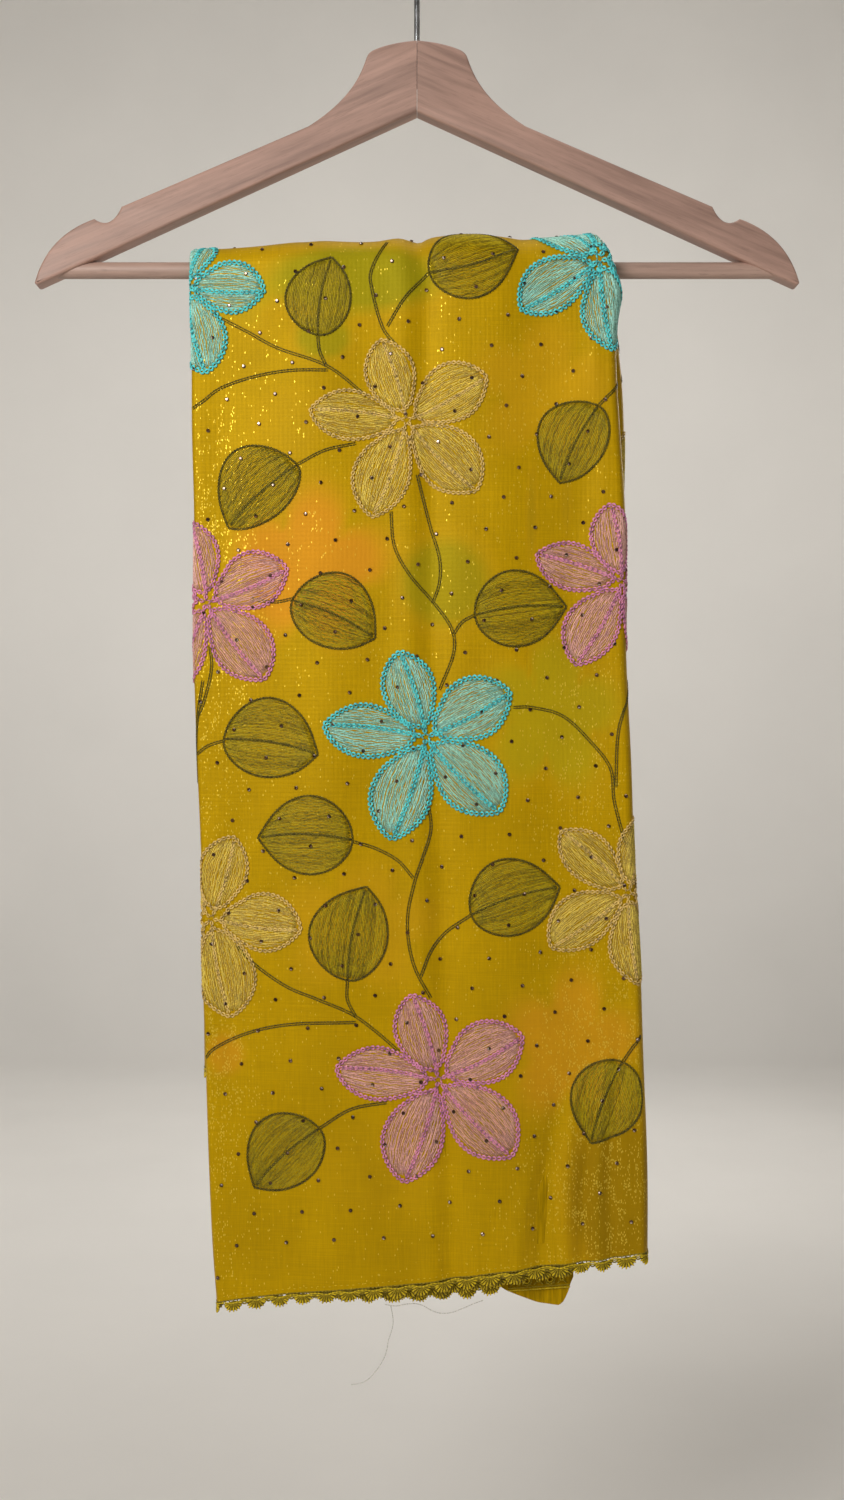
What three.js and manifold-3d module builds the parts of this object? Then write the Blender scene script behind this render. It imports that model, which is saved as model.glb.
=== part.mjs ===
// An embroidered saree, folded flat into a long pad and hung over the bar of a wooden clothes hanger.
//
// Millimetres. +X runs to the right of the front, +Y to the back and +Z up. The origin is the point inside
// the hook that rests on a rail.

import * as THREE from "three";
import { mergeVertices } from "three/addons/utils/BufferGeometryUtils.js";
import Module from "manifold-3d";

const wasm = await Module();
wasm.setup();

// ---------------------------------------------------------------------------------------------
// Driving dimensions
// ---------------------------------------------------------------------------------------------

const GAP = 0.3; // between pieces that touch

// Wooden hanger: one flat blank, cut along the glue line into two arms
const HALF_WIDTH = 222.5;
const HEAD_TOP_Z = -76.3;
const ARM_THICK = 12.5;
const ARM_ROUND = 1.2; // rounding along the arms' edges
const CURVE_POINTS = 6; // points along each curve of the outline
const APEX_DROP = 41.5; // head top to the inner corner below it
const TIP_DROP = 142.5; // head top to the lowest point of the tips
const STEM_SUNK = 26; // length of the hook's thread inside the wood
const HOLE_SIDES = 16;

// Bar between the arms
const BAR_DIAMETER = 9.5;
const BAR_Z = -209;
const BAR_HALF_LENGTH = 212;
const BAR_SIDES = 24;

// Hook: a straight stem, a short bend and a round loop
const WIRE_DIAMETER = 3.4;
const HOOK_INNER_RADIUS = 20;
const BEND_RADIUS = 8;
const HOOK_END_ANGLE = 200; // degrees round the loop, from +X
const HOOK_POINTS = { stem: 5, bend: 3, loop: 16 }; // points of its centre line
const HOOK_SIDES = 10;
const HOOK_STEPS = 44;

// Cloth
const WALL = 1.2; // thickness of the outer turn's wall
const CLOTH_WIDTH = 1120; // width of the fabric, which runs up the front, over the bar and down the back
const CROWN_RADIUS = 5.15; // bar's axis to the pad's inner face
const FALL_RADIUS = 2.2; // middle plane to the inner face, where the falls have closed in
const CLOSING_DROP = 230; // length over which they close in
const HEM_SPREAD = 0.3; // how much thicker the pad is at the hems than over the bar
const CROWN_RISE = 18; // top of the pad above the bar's axis
const LEFT_FOLD = 2.6; // reach of the rounding at each side fold
const RIGHT_FOLD = 5;

// Thickness of the whole pad over the bar, by the share of its width from the left. Each row is also a
// column of points on both faces.
const PAD = [
  { across: 0, thick: 6.4 },
  { across: 0.08, thick: 7.2 },
  { across: 0.18, thick: 9 },
  { across: 0.28, thick: 11.3 },
  { across: 0.46, thick: 11.6 },
  { across: 0.515, thick: 13 },
  { across: 0.555, thick: 10.9 },
  { across: 0.6, thick: 13.2 },
  { across: 0.7, thick: 14.8 },
  { across: 0.86, thick: 12.6 },
  { across: 1, thick: 15 },
];
const PAD_MEAN = 12;

// Side folds of the front fall, by the drop below the bar's axis
const FRONT_SIDES = [
  { drop: -CROWN_RISE, left: -131.5, right: 106.5 },
  { drop: 0, left: -131.3, right: 113 },
  { drop: 16, left: -131, right: 117.3 },
  { drop: 36, left: -130.7, right: 115.2 },
  { drop: 62, left: -130.7, right: 115.2 },
  { drop: 91, left: -130.7, right: 117 },
  { drop: 140, left: -129.6, right: 120.2 },
  { drop: 225, left: -129.8, right: 121 },
  { drop: 288, left: -127.8, right: 123.9 },
  { drop: 346, left: -125.4, right: 125.7 },
  { drop: 404, left: -124.8, right: 129 },
  { drop: 461, left: -122.9, right: 130.9 },
  { drop: 519, left: -121, right: 133 },
  { drop: 574, left: -118.4, right: 133 },
  { drop: 600, left: -116.4, right: 132.6 },
];

// Side folds of the back fall
const BACK_SIDES = [
  { drop: -CROWN_RISE, left: -131.5, right: 106.5 },
  { drop: 20, left: -131, right: 115.5 },
  { drop: 240, left: -127.5, right: 118 },
  { drop: 480, left: -125, right: 123 },
];

// Lower edge of the front fall, as its drop below the bar's axis
const FRONT_HEM = [
  { x: -116, drop: 599.9 },
  { x: -97, drop: 596.8 },
  { x: -78, drop: 594.2 },
  { x: -42, drop: 590.6 },
  { x: -7, drop: 587.6 },
  { x: 28, drop: 582.4 },
  { x: 63, drop: 577 },
  { x: 98, drop: 573.5 },
  { x: 131, drop: 567.5 },
];

// Leaves of the fold that show one behind another at each hem. Depth is the share of the pad's thickness,
// from the inner face. Each hangs past the outer turn by "most" at its middle and by "ends" at its reach.
const FRONT_LEAVES = [
  { name: "front_1", depth: 0.71, left: -104, right: 92, ends: -3, most: 3, middle: 45, reach: 110 },
  { name: "front_2", depth: 0.53, left: -88, right: 62, ends: -4, most: 5.6, middle: 10, reach: 75 },
  { name: "front_3", depth: 0.36, left: -62, right: 48, ends: 0, most: 9, middle: 44, reach: 75 },
];
const BACK_LEAVES = [
  { name: "back_1", depth: 0.7, left: -106, right: 100, ends: -2, most: 3, middle: -30, reach: 90 },
  { name: "back_2", depth: 0.42, left: -92, right: 74, ends: -3, most: 6, middle: -44, reach: 80 },
];
const LEAF_WALL = 1.1;
const LEAF_LENGTH = 24; // the stretch near each hem where the leaves lie apart
const LEAF_ROOT = 6; // how far each leaf reaches into the solid above
const LEAF_COLUMNS = 10;

// Scalloped lace sewn to every lower edge
const LACE_WALL = 0.9;
const LACE_DEPTH = 6.4;
const SCALLOP_PITCH = 14.3;
const SCALLOP_CUT = 1.7; // depth of the notches between scallops
const SCALLOP_COLUMNS = 3;
const LACE_INSET = 1; // from each end of a leaf's edge
const LACE_GAP = 0.9; // below the outer turn, whose hem runs straight between its columns

// Inner leaf whose corner has slipped below the lace, right of the middle
const SLIPPED_ACROSS = 0.75; // its middle, as a share of the pad's width
const SLIPPED_DEPTH = 0.13;
const SLIPPED_WALL = 1.2;
const SLIPPED_TOP = 0.9; // clearance below the folded leaves, which slope there
const SLIPPED_EDGE = [
  { x: 43, drop: 588.5 },
  { x: 51, drop: 594.5 },
  { x: 70, drop: 602 },
  { x: 84, drop: 603.6 },
  { x: 89, drop: 594 },
  { x: 91, drop: 584 },
];
// Its lace runs above its corner, with its lower edge at a drop at the left, rising to the right
const SLIPPED_LACE = { depth: 0.235, left: 53, right: 89, drop: 595, slope: 0.066, height: 12.6, columns: 6 };

// Loose ends of white sewing thread below the hem, as routes of [x, y, z]
const THREAD_DIAMETER = 0.5;
const THREAD_SIDES = 8;
const THREAD_STEPS = 44;
const TAIL_ROUTE = [
  [-15.2, -10.9, -810.7],
  [-14.6, -11, -813.6],
  [-13.9, -11.1, -818],
  [-14, -11.1, -822.4],
  [-15.1, -11.2, -826.6],
  [-16.6, -11.2, -831],
  [-17.2, -11.3, -835],
  [-18.6, -11.2, -840],
  [-21.6, -10.8, -845.6],
  [-24.8, -10.2, -850],
  [-28.2, -9.6, -853.8],
  [-33, -9, -856.4],
  [-38.2, -8.6, -857.4],
];
const LOOP_ROUTE = [
  [-18.7, -9.7, -808.9],
  [-12.6, -9.6, -811.4],
  [-6.2, -10, -810.2],
  [-1, -10.6, -809.7],
  [3.6, -10.8, -810.8],
  [8.6, -10.9, -813.6],
  [14, -10.8, -815.2],
  [20, -10.6, -814.8],
  [26.4, -10.1, -812.6],
  [32.6, -9.4, -810.2],
  [38.4, -8.7, -808.4],
];

// ---------------------------------------------------------------------------------------------
// Small helpers
// ---------------------------------------------------------------------------------------------

const radians = THREE.MathUtils.degToRad;

// Value of a column at a place between two rows of a table
function along(rows, key, column, at) {
  if (at <= rows[0][key]) return rows[0][column];
  for (let i = 1; i < rows.length; i += 1) {
    if (at <= rows[i][key]) {
      const share = (at - rows[i - 1][key]) / (rows[i][key] - rows[i - 1][key]);
      return THREE.MathUtils.lerp(rows[i - 1][column], rows[i][column], share);
    }
  }
  return rows[rows.length - 1][column];
}

function volume(positions, index) {
  let sum = 0;
  const corner = [new THREE.Vector3(), new THREE.Vector3(), new THREE.Vector3()];
  for (let i = 0; i < index.length; i += 3) {
    for (let k = 0; k < 3; k += 1) corner[k].fromArray(positions, index[i + k] * 3);
    sum += corner[0].dot(corner[1].clone().cross(corner[2])) / 6;
  }
  return sum;
}

// Geometry of a closed body, turned so that its faces point outwards
function closedBody(positions, index) {
  const faces = volume(positions, index) < 0 ? index.slice().reverse() : index;
  const geometry = new THREE.BufferGeometry();
  geometry.setAttribute("position", new THREE.Float32BufferAttribute(positions, 3));
  geometry.setIndex(faces);
  return geometry;
}

// Skins the space between rings of points that lie one after another. A loop joins the last ring to the
// first; otherwise each end gets a cap, laid out from the ring's point "tip".
function loft(rings, { loop = false, tip = 0 } = {}) {
  const size = rings[0].length;
  const positions = rings.flat().flatMap((point) => point.toArray());
  const index = [];
  const spans = loop ? rings.length : rings.length - 1;
  for (let i = 0; i < spans; i += 1) {
    const here = i * size;
    const next = ((i + 1) % rings.length) * size;
    for (let j = 0; j < size; j += 1) {
      const k = (j + 1) % size;
      index.push(here + j, here + k, next + k, here + j, next + k, next + j);
    }
  }
  if (!loop) {
    cap(size, 0, tip, index, true);
    cap(size, (rings.length - 1) * size, tip, index, false);
  }
  return closedBody(positions, index);
}

// Closes one end of a loft with a ladder of faces, from the ring's point "tip" to the point opposite it
function cap(size, first, tip, index, turned) {
  const at = (k) => first + ((tip + k + size) % size);
  const face = (p, q, r) => index.push(...(turned ? [at(p), at(r), at(q)] : [at(p), at(q), at(r)]));
  face(-1, 0, 1);
  for (let k = 1; k < size / 2; k += 1) {
    face(-k - 1, -k, k);
    if (k + 1 < size / 2) face(-k - 1, k, k + 1);
  }
}

// Wall between an outer and an inner skin, each given as rings, open at both ends
function tubeWall(outer, inner) {
  return loft([...outer, ...inner.slice().reverse()], { loop: true });
}

function toSolid(geometry) {
  const bare = geometry.clone();
  bare.deleteAttribute("normal");
  bare.deleteAttribute("uv");
  const merged = mergeVertices(bare);
  return new wasm.Manifold(
    new wasm.Mesh({
      numProp: 3,
      vertProperties: new Float32Array(merged.attributes.position.array),
      triVerts: new Uint32Array(merged.index.array),
    }),
  );
}

function toGeometry(solid) {
  const mesh = solid.getMesh();
  return closedBody(Array.from(mesh.vertProperties), Array.from(mesh.triVerts));
}

function piece(name, geometry, material) {
  const mesh = new THREE.Mesh(geometry, material);
  mesh.name = name;
  return mesh;
}

// ---------------------------------------------------------------------------------------------
// Materials
// ---------------------------------------------------------------------------------------------

const wood = new THREE.MeshStandardMaterial({ color: 0xc9a595, roughness: 0.55 });
const barWood = new THREE.MeshStandardMaterial({ color: 0xc2a293, roughness: 0.5 });
const steel = new THREE.MeshStandardMaterial({ color: 0xb9bcc0, roughness: 0.25, metalness: 1 });
const tissue = new THREE.MeshStandardMaterial({ color: 0xb28f0e, roughness: 0.55 });
const leafCloth = new THREE.MeshStandardMaterial({ color: 0x9c7a0a, roughness: 0.6 });
const crochet = new THREE.MeshStandardMaterial({ color: 0x8f7a1c, roughness: 0.75 });
const whiteThread = new THREE.MeshStandardMaterial({ color: 0xe8e4dc, roughness: 0.6 });

// ---------------------------------------------------------------------------------------------
// Hanger
// ---------------------------------------------------------------------------------------------

// Outline of the blank, seen from the front: head, neck, straight shoulder, strap notch and round end
function blankOutline() {
  const right = new THREE.Path();
  right.moveTo(0, 0);
  right.quadraticCurveTo(16, 0, 28, -7.2);
  right.quadraticCurveTo(29.4, -8, 29.8, -9.6);
  right.bezierCurveTo(33, -19, 38.5, -34.5, 63, -50);
  right.lineTo(172, -97);
  right.quadraticCurveTo(176, -106.4, 182, -106.3);
  right.quadraticCurveTo(185.5, -106.2, 187.8, -104);
  right.bezierCurveTo(205, -110, 217.5, -122, HALF_WIDTH, 1.5 - TIP_DROP);
  right.lineTo(HALF_WIDTH - 1.2, -TIP_DROP);
  right.lineTo(HALF_WIDTH - 2.2, -TIP_DROP + 0.3);
  const edge = right.getPoints(CURVE_POINTS);
  const mirrored = edge.slice(1).reverse().map((point) => new THREE.Vector2(-point.x, point.y));
  return new THREE.Shape([...edge, new THREE.Vector2(0, -APEX_DROP), ...mirrored]);
}

function hangerArms() {
  const blank = new THREE.ExtrudeGeometry(blankOutline(), {
    depth: ARM_THICK - 2 * ARM_ROUND,
    bevelThickness: ARM_ROUND,
    bevelSize: ARM_ROUND,
    bevelOffset: -ARM_ROUND,
    bevelSegments: 2,
  });
  blank.rotateX(Math.PI / 2);
  blank.translate(0, ARM_THICK / 2 - ARM_ROUND, HEAD_TOP_Z);

  const stemHole = new THREE.CylinderGeometry(
    WIRE_DIAMETER / 2 + GAP, WIRE_DIAMETER / 2 + GAP, 2 * (STEM_SUNK + GAP), HOLE_SIDES,
  );
  stemHole.rotateX(Math.PI / 2);
  stemHole.translate(0, 0, HEAD_TOP_Z);
  const socket = new THREE.CylinderGeometry(
    BAR_DIAMETER / 2 + GAP, BAR_DIAMETER / 2 + GAP, 2 * (BAR_HALF_LENGTH + GAP), BAR_SIDES,
  );
  socket.rotateZ(Math.PI / 2);
  socket.translate(0, 0, BAR_Z);
  const drilled = toSolid(blank).subtract(toSolid(stemHole)).subtract(toSolid(socket));

  const size = 2 * HALF_WIDTH;
  return [-1, 1].map((side) => {
    const otherHalf = new THREE.BoxGeometry(size, size, size);
    otherHalf.translate(-side * (size / 2 - GAP / 2), 0, HEAD_TOP_Z);
    const arm = toGeometry(drilled.subtract(toSolid(otherHalf)));
    return piece(side < 0 ? "hanger_arm_left" : "hanger_arm_right", arm, wood);
  });
}

function hangerBar() {
  const geometry = new THREE.CylinderGeometry(
    BAR_DIAMETER / 2, BAR_DIAMETER / 2, 2 * BAR_HALF_LENGTH, BAR_SIDES,
  );
  geometry.rotateZ(Math.PI / 2);
  geometry.translate(0, 0, BAR_Z);
  return piece("hanger_bar", geometry, barWood);
}

// Centre line of the wire, in the plane y = 0
function hookLine() {
  const loopRadius = HOOK_INNER_RADIUS + WIRE_DIAMETER / 2;
  const reach = loopRadius + BEND_RADIUS;
  const bendZ = -HOOK_INNER_RADIUS - Math.sqrt(reach ** 2 - BEND_RADIUS ** 2);
  const meeting = Math.atan2(bendZ + HOOK_INNER_RADIUS, BEND_RADIUS); // direction from loop to bend
  const points = [];
  const stemFoot = HEAD_TOP_Z - STEM_SUNK;
  for (let k = 0; k <= HOOK_POINTS.stem; k += 1) {
    points.push(new THREE.Vector3(0, 0, THREE.MathUtils.lerp(stemFoot, bendZ, k / HOOK_POINTS.stem)));
  }
  for (let k = 1; k <= HOOK_POINTS.bend; k += 1) {
    const turn = THREE.MathUtils.lerp(Math.PI, meeting + Math.PI, k / HOOK_POINTS.bend);
    points.push(
      new THREE.Vector3(BEND_RADIUS * (1 + Math.cos(turn)), 0, bendZ + BEND_RADIUS * Math.sin(turn)),
    );
  }
  for (let k = 1; k <= HOOK_POINTS.loop; k += 1) {
    const turn = THREE.MathUtils.lerp(meeting, radians(HOOK_END_ANGLE), k / HOOK_POINTS.loop);
    points.push(
      new THREE.Vector3(loopRadius * Math.cos(turn), 0, -HOOK_INNER_RADIUS + loopRadius * Math.sin(turn)),
    );
  }
  return new THREE.CatmullRomCurve3(points);
}

function roundSection(diameter, sides) {
  const shape = new THREE.Shape();
  for (let k = 0; k < sides; k += 1) {
    const turn = (2 * Math.PI * k) / sides;
    const x = (diameter / 2) * Math.cos(turn);
    const y = (diameter / 2) * Math.sin(turn);
    if (k === 0) shape.moveTo(x, y);
    else shape.lineTo(x, y);
  }
  shape.closePath();
  return shape;
}

function wire(name, line, diameter, sides, steps, material) {
  const geometry = new THREE.ExtrudeGeometry(roundSection(diameter, sides), {
    extrudePath: line,
    steps,
    curveSegments: 1,
  });
  return piece(name, geometry, material);
}

// ---------------------------------------------------------------------------------------------
// Cloth: one pad of folded leaves, bent over the bar
// ---------------------------------------------------------------------------------------------

// Stations along the pad: 0 is the front hem, 1 and 2 the ends of the crown over the bar, 3 the back hem
const FRONT = [0, 0.03, 0.07, 0.14, 0.22, 0.32, 0.42, 0.52, 0.62, 0.72, 0.8, 0.87, 0.93, 0.97, 1];
const CROWN = [1, 1.14, 1.28, 1.42, 1.58, 1.72, 1.86, 2];
const BACK = [2, 2.04, 2.12, 2.24, 2.4, 2.56, 2.72, 2.86, 2.95, 3];

const FOLD_ANGLES = [50, 0, -50]; // columns round each side fold, in degrees

const frontHem = (x) => along(FRONT_HEM, "x", "drop", x);

// What the front and the crown leave of the fabric's width hangs down the back
const backHem = (x) => CLOTH_WIDTH - Math.PI * (CROWN_RADIUS + PAD_MEAN) - frontHem(x);

function dropAt(x, station) {
  if (station <= 1) return (1 - station) * frontHem(x);
  if (station >= 2) return (station - 2) * backHem(x);
  return 0;
}

function sidesAt(station) {
  const rows = station <= 1.5 ? FRONT_SIDES : BACK_SIDES;
  const overBar = station > 1 && station < 2;
  const drop = overBar ? -CROWN_RISE * Math.sin(Math.PI * (station - 1)) : dropAt(0, station);
  return { left: along(rows, "drop", "left", drop), right: along(rows, "drop", "right", drop) };
}

function innerRadius(drop) {
  const share = THREE.MathUtils.smoothstep(drop, 0, CLOSING_DROP);
  return THREE.MathUtils.lerp(CROWN_RADIUS, FALL_RADIUS, share);
}

// Thickness of the pad at a share of its width
function padAt(share, station) {
  const lowest = station <= 1 ? 1 - station : Math.max(0, station - 2);
  return along(PAD, "across", "thick", share) * (1 + HEM_SPREAD * lowest);
}

// Point of the pad: across, its depth from the inner face, and its station
function place(x, depth, station) {
  const drop = dropAt(x, station);
  if (station < 1) return new THREE.Vector3(x, -(innerRadius(drop) + depth), BAR_Z - drop);
  if (station > 2) return new THREE.Vector3(x, innerRadius(drop) + depth, BAR_Z - drop);
  const turn = Math.PI * (station - 1);
  const radius = CROWN_RADIUS + depth;
  return new THREE.Vector3(x, -radius * Math.cos(turn), BAR_Z + radius * Math.sin(turn));
}

// Left and right ends of the two faces, where the side folds begin
function faceEnds(station) {
  const { left, right } = sidesAt(station);
  return [left + LEFT_FOLD, right - RIGHT_FOLD];
}

// Point on one face, a share of the width from the left; inset moves it into the pad
function facePoint(share, outer, inset, station) {
  const x = THREE.MathUtils.lerp(...faceEnds(station), share);
  return place(x, outer ? padAt(share, station) - inset : inset, station);
}

// Point round a side fold: 90 degrees is on the outer face, -90 on the inner one
function foldPoint(side, degrees, inset, station) {
  const share = side < 0 ? 0 : 1;
  const reach = side < 0 ? LEFT_FOLD : RIGHT_FOLD;
  const half = padAt(share, station) / 2;
  const x = faceEnds(station)[share] + side * (reach - inset) * Math.cos(radians(degrees));
  const depth = half + (half - inset) * Math.sin(radians(degrees));
  return place(x, depth, station);
}

// Section of the pad: the outer face, the right fold, the inner face and the left fold
function section(station, inset, shares = PAD.map((row) => row.across)) {
  return [
    ...shares.map((share) => facePoint(share, true, inset, station)),
    ...FOLD_ANGLES.map((degrees) => foldPoint(1, degrees, inset, station)),
    ...shares.slice().reverse().map((share) => facePoint(share, false, inset, station)),
    ...FOLD_ANGLES.slice().reverse().map((degrees) => foldPoint(-1, degrees, inset, station)),
  ];
}

// The outer turn is a flattened tube of cloth, in one stretch for each part that shows
function outerTurn(name, stations, shortStart, shortEnd) {
  const last = stations.length - 1;
  const trimmed = stations.map((station, i) => {
    if (i === 0) return station + shortStart;
    return i === last ? station - shortEnd : station;
  });
  const outer = trimmed.map((station) => section(station, 0));
  const inner = trimmed.map((station) => section(station, WALL));
  return piece(name, tubeWall(outer, inner), tissue);
}

// How far a leaf hangs below the outer turn at x
function below(leaf, x) {
  const near = Math.max(0, 1 - ((x - leaf.middle) / leaf.reach) ** 2);
  return leaf.ends + (leaf.most - leaf.ends) * near ** 0.7;
}

// Line across the pad near a hem, on which a leaf or its lace lies: rows of x, drop and depth
function leafEdge(leaf, station) {
  const hem = station < 1 ? frontHem : backHem;
  const [from, to] = faceEnds(station);
  return spread(leaf.left, leaf.right, LEAF_COLUMNS).map((x) => ({
    x,
    drop: hem(x) + below(leaf, x),
    depth: leaf.depth * padAt((x - from) / (to - from), station),
  }));
}

// Flat strip of cloth or lace, centred on a leaf's depth, from one drop to a lower one at each x
function crossStrip(edge, xs, station, wall, topAt, bottomAt) {
  const side = station < 1 ? -1 : 1;
  return loft(
    xs.map((x) => {
      const face = FALL_RADIUS + along(edge, "x", "depth", x) - wall / 2;
      return [
        new THREE.Vector3(x, side * face, BAR_Z - topAt(x)),
        new THREE.Vector3(x, side * face, BAR_Z - bottomAt(x)),
        new THREE.Vector3(x, side * (face + wall), BAR_Z - bottomAt(x)),
        new THREE.Vector3(x, side * (face + wall), BAR_Z - topAt(x)),
      ];
    }),
  );
}

function spread(from, to, count) {
  return Array.from({ length: count + 1 }, (_, i) => THREE.MathUtils.lerp(from, to, i / count));
}

// All hidden leaves as one rounded solid, with the leaves that show at the hems standing out of its ends
function foldedLeaves() {
  const clear = LEAF_LENGTH / backHem(0);
  const stations = [LEAF_LENGTH / frontHem(0), ...FRONT.slice(2), ...CROWN.slice(1), ...BACK.slice(1, -2)];
  const rings = [...stations, 3 - clear].map((station) => section(station, WALL + 2 * GAP));
  let solid = toSolid(loft(rings, { tip: PAD.length + 1 }));
  for (const [station, leaves] of [[0, FRONT_LEAVES], [3, BACK_LEAVES]]) {
    for (const leaf of leaves) {
      const edge = leafEdge(leaf, station);
      const bottom = (x) => along(edge, "x", "drop", x);
      const top = (x) => bottom(x) - LEAF_LENGTH - LEAF_ROOT;
      const xs = edge.map((row) => row.x);
      solid = solid.add(toSolid(crossStrip(edge, xs, station, LEAF_WALL, top, bottom)));
    }
  }
  return piece("folded_leaves", toGeometry(solid), leafCloth);
}

// Depth of the lace at a distance along it: round scallops with narrow notches between them
function scallop(distance) {
  const phase = (distance / SCALLOP_PITCH) % 1;
  return LACE_DEPTH - SCALLOP_CUT * (1 - Math.sin(Math.PI * phase) ** 0.6);
}

const laceColumns = (from, to) => Math.round((SCALLOP_COLUMNS * (to - from)) / SCALLOP_PITCH);

function leafLace(leaf, station) {
  const edge = leafEdge(leaf, station);
  const from = edge[0].x + LACE_INSET;
  const to = edge[edge.length - 1].x - LACE_INSET;
  const xs = spread(from, to, laceColumns(from, to));
  const top = (x) => along(edge, "x", "drop", x) + GAP;
  const bottom = (x) => top(x) + scallop(x - from);
  return piece(`lace_${leaf.name}`, crossStrip(edge, xs, station, LACE_WALL, top, bottom), crochet);
}

// Lace round the whole lower edge of the outer turn
function turnLace(name, station) {
  const [from, to] = faceEnds(station);
  const shares = spread(0, 1, laceColumns(from, to));
  const outside = section(station, (WALL - LACE_WALL) / 2, shares);
  const inside = section(station, (WALL + LACE_WALL) / 2, shares);
  const lower = (point, by) => point.clone().setZ(point.z - by);
  let distance = 0;
  const rings = outside.map((point, i) => {
    if (i > 0) distance += point.distanceTo(outside[i - 1]);
    const drop = LACE_GAP + scallop(distance);
    const corners = [[point, LACE_GAP], [inside[i], LACE_GAP], [inside[i], drop], [point, drop]];
    return corners.map(([corner, by]) => lower(corner, by));
  });
  return piece(name, loft(rings, { loop: true }), crochet);
}

// The slipped leaf hangs from the folded leaves, with its corner below the lace
function slippedLeaf() {
  const depth = SLIPPED_DEPTH * padAt(SLIPPED_ACROSS, 0);
  const edge = SLIPPED_EDGE.map((row) => ({ ...row, depth }));
  const xs = edge.map((row) => row.x);
  const top = (x) => frontHem(x) - LEAF_LENGTH + SLIPPED_TOP;
  const bottom = (x) => along(edge, "x", "drop", x);
  return piece("slipped_leaf", crossStrip(edge, xs, 0, SLIPPED_WALL, top, bottom), leafCloth);
}

// Band of lace that lies on the slipped leaf, above its corner
function slippedLace() {
  const { left, right, drop, slope, height, columns } = SLIPPED_LACE;
  const depth = SLIPPED_LACE.depth * padAt(SLIPPED_ACROSS, 0);
  const xs = spread(left, right, columns);
  const edge = xs.map((x) => ({ x, depth }));
  const lower = (x) => drop - slope * (x - left);
  const strip = crossStrip(edge, xs, 0, LACE_WALL, (x) => lower(x) - height, lower);
  return piece("lace_slipped", strip, crochet);
}

// ---------------------------------------------------------------------------------------------
// The whole object
// ---------------------------------------------------------------------------------------------

const routeLine = (route) =>
  new THREE.CatmullRomCurve3(route.map(([x, y, z]) => new THREE.Vector3(x, y, z)));
const thread = (name, route) =>
  wire(name, routeLine(route), THREAD_DIAMETER, THREAD_SIDES, THREAD_STEPS, whiteThread);

const saree = new THREE.Group();
saree.add(
  ...hangerArms(),
  hangerBar(),
  wire("hook", hookLine(), WIRE_DIAMETER, HOOK_SIDES, HOOK_STEPS, steel),
  outerTurn("wrap_front", FRONT, 0, GAP / frontHem(0)),
  outerTurn("wrap_crown", CROWN, 0, 0),
  outerTurn("wrap_back", BACK, GAP / backHem(0), 0),
  foldedLeaves(),
  turnLace("lace_front", 0),
  turnLace("lace_back", 3),
  ...FRONT_LEAVES.map((leaf) => leafLace(leaf, 0)),
  ...BACK_LEAVES.map((leaf) => leafLace(leaf, 3)),
  slippedLeaf(),
  slippedLace(),
  thread("thread_tail", TAIL_ROUTE),
  thread("thread_loop", LOOP_ROUTE),
);

export default saree;
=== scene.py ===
"""An embroidered tissue saree, folded flat and hung over the bar of a wooden clothes hanger.

Sizes are in millimetres, and MM turns them into Blender's metres. A place on the cloth is given by
two lengths: "across", which is x on the flat face and goes on round the side folds, and "along",
which is the distance from the pad's top over the bar, positive down the front and negative down
the back.
"""

import math

import bpy
import numpy as np
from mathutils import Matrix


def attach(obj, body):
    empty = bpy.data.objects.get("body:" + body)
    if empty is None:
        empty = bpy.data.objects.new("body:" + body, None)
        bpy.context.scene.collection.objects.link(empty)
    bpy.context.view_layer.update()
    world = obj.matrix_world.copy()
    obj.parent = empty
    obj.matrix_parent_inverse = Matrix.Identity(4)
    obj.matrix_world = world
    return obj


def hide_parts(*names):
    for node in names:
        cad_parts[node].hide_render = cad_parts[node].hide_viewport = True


bl_info = {
    "name": "Embroidered Saree on a Hanger",
    "version": (1, 0, 0),
    "blender": (4, 5, 0),
    "location": "View3D > Sidebar > Saree",
    "description": "Models a folded embroidered saree, its lace and its wooden hanger",
    "category": "Add Mesh",
}

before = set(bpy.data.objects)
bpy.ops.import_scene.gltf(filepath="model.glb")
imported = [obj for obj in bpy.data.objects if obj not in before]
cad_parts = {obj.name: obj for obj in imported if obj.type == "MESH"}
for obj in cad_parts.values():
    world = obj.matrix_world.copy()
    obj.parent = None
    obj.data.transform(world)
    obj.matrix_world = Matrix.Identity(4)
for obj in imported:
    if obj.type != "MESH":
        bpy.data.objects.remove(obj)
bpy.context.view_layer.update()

MM = 0.001
TURN = 2 * math.pi


def table(names, *lines):
    """A table's lines as dictionaries, under the names at its head."""
    return [dict(zip(names.split(), line)) for line in lines]


# -------- Sizes shared with the construction --------

HALF_WIDTH = 222.5
HEAD_TOP_Z = -76.3
ARM_THICK = 12.5
ARM_ROUND = 1.6
APEX_DROP = 41.5
TIP_DROP = 142.5
STEM_SUNK = 26
ARM_SLOPE = math.atan2(47, 109)  # fall of the straight shoulder line
JOINT_SPARE = 6  # wood past the joint, cut off again
JOINT_LINE = 0.12

BAR_DIAMETER = 9.5
BAR_Z = -209
BAR_HALF_LENGTH = 212

WIRE_DIAMETER = 3.4
HOOK_INNER_RADIUS = 20
BEND_RADIUS = 8
HOOK_END_ANGLE = 200

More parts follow.
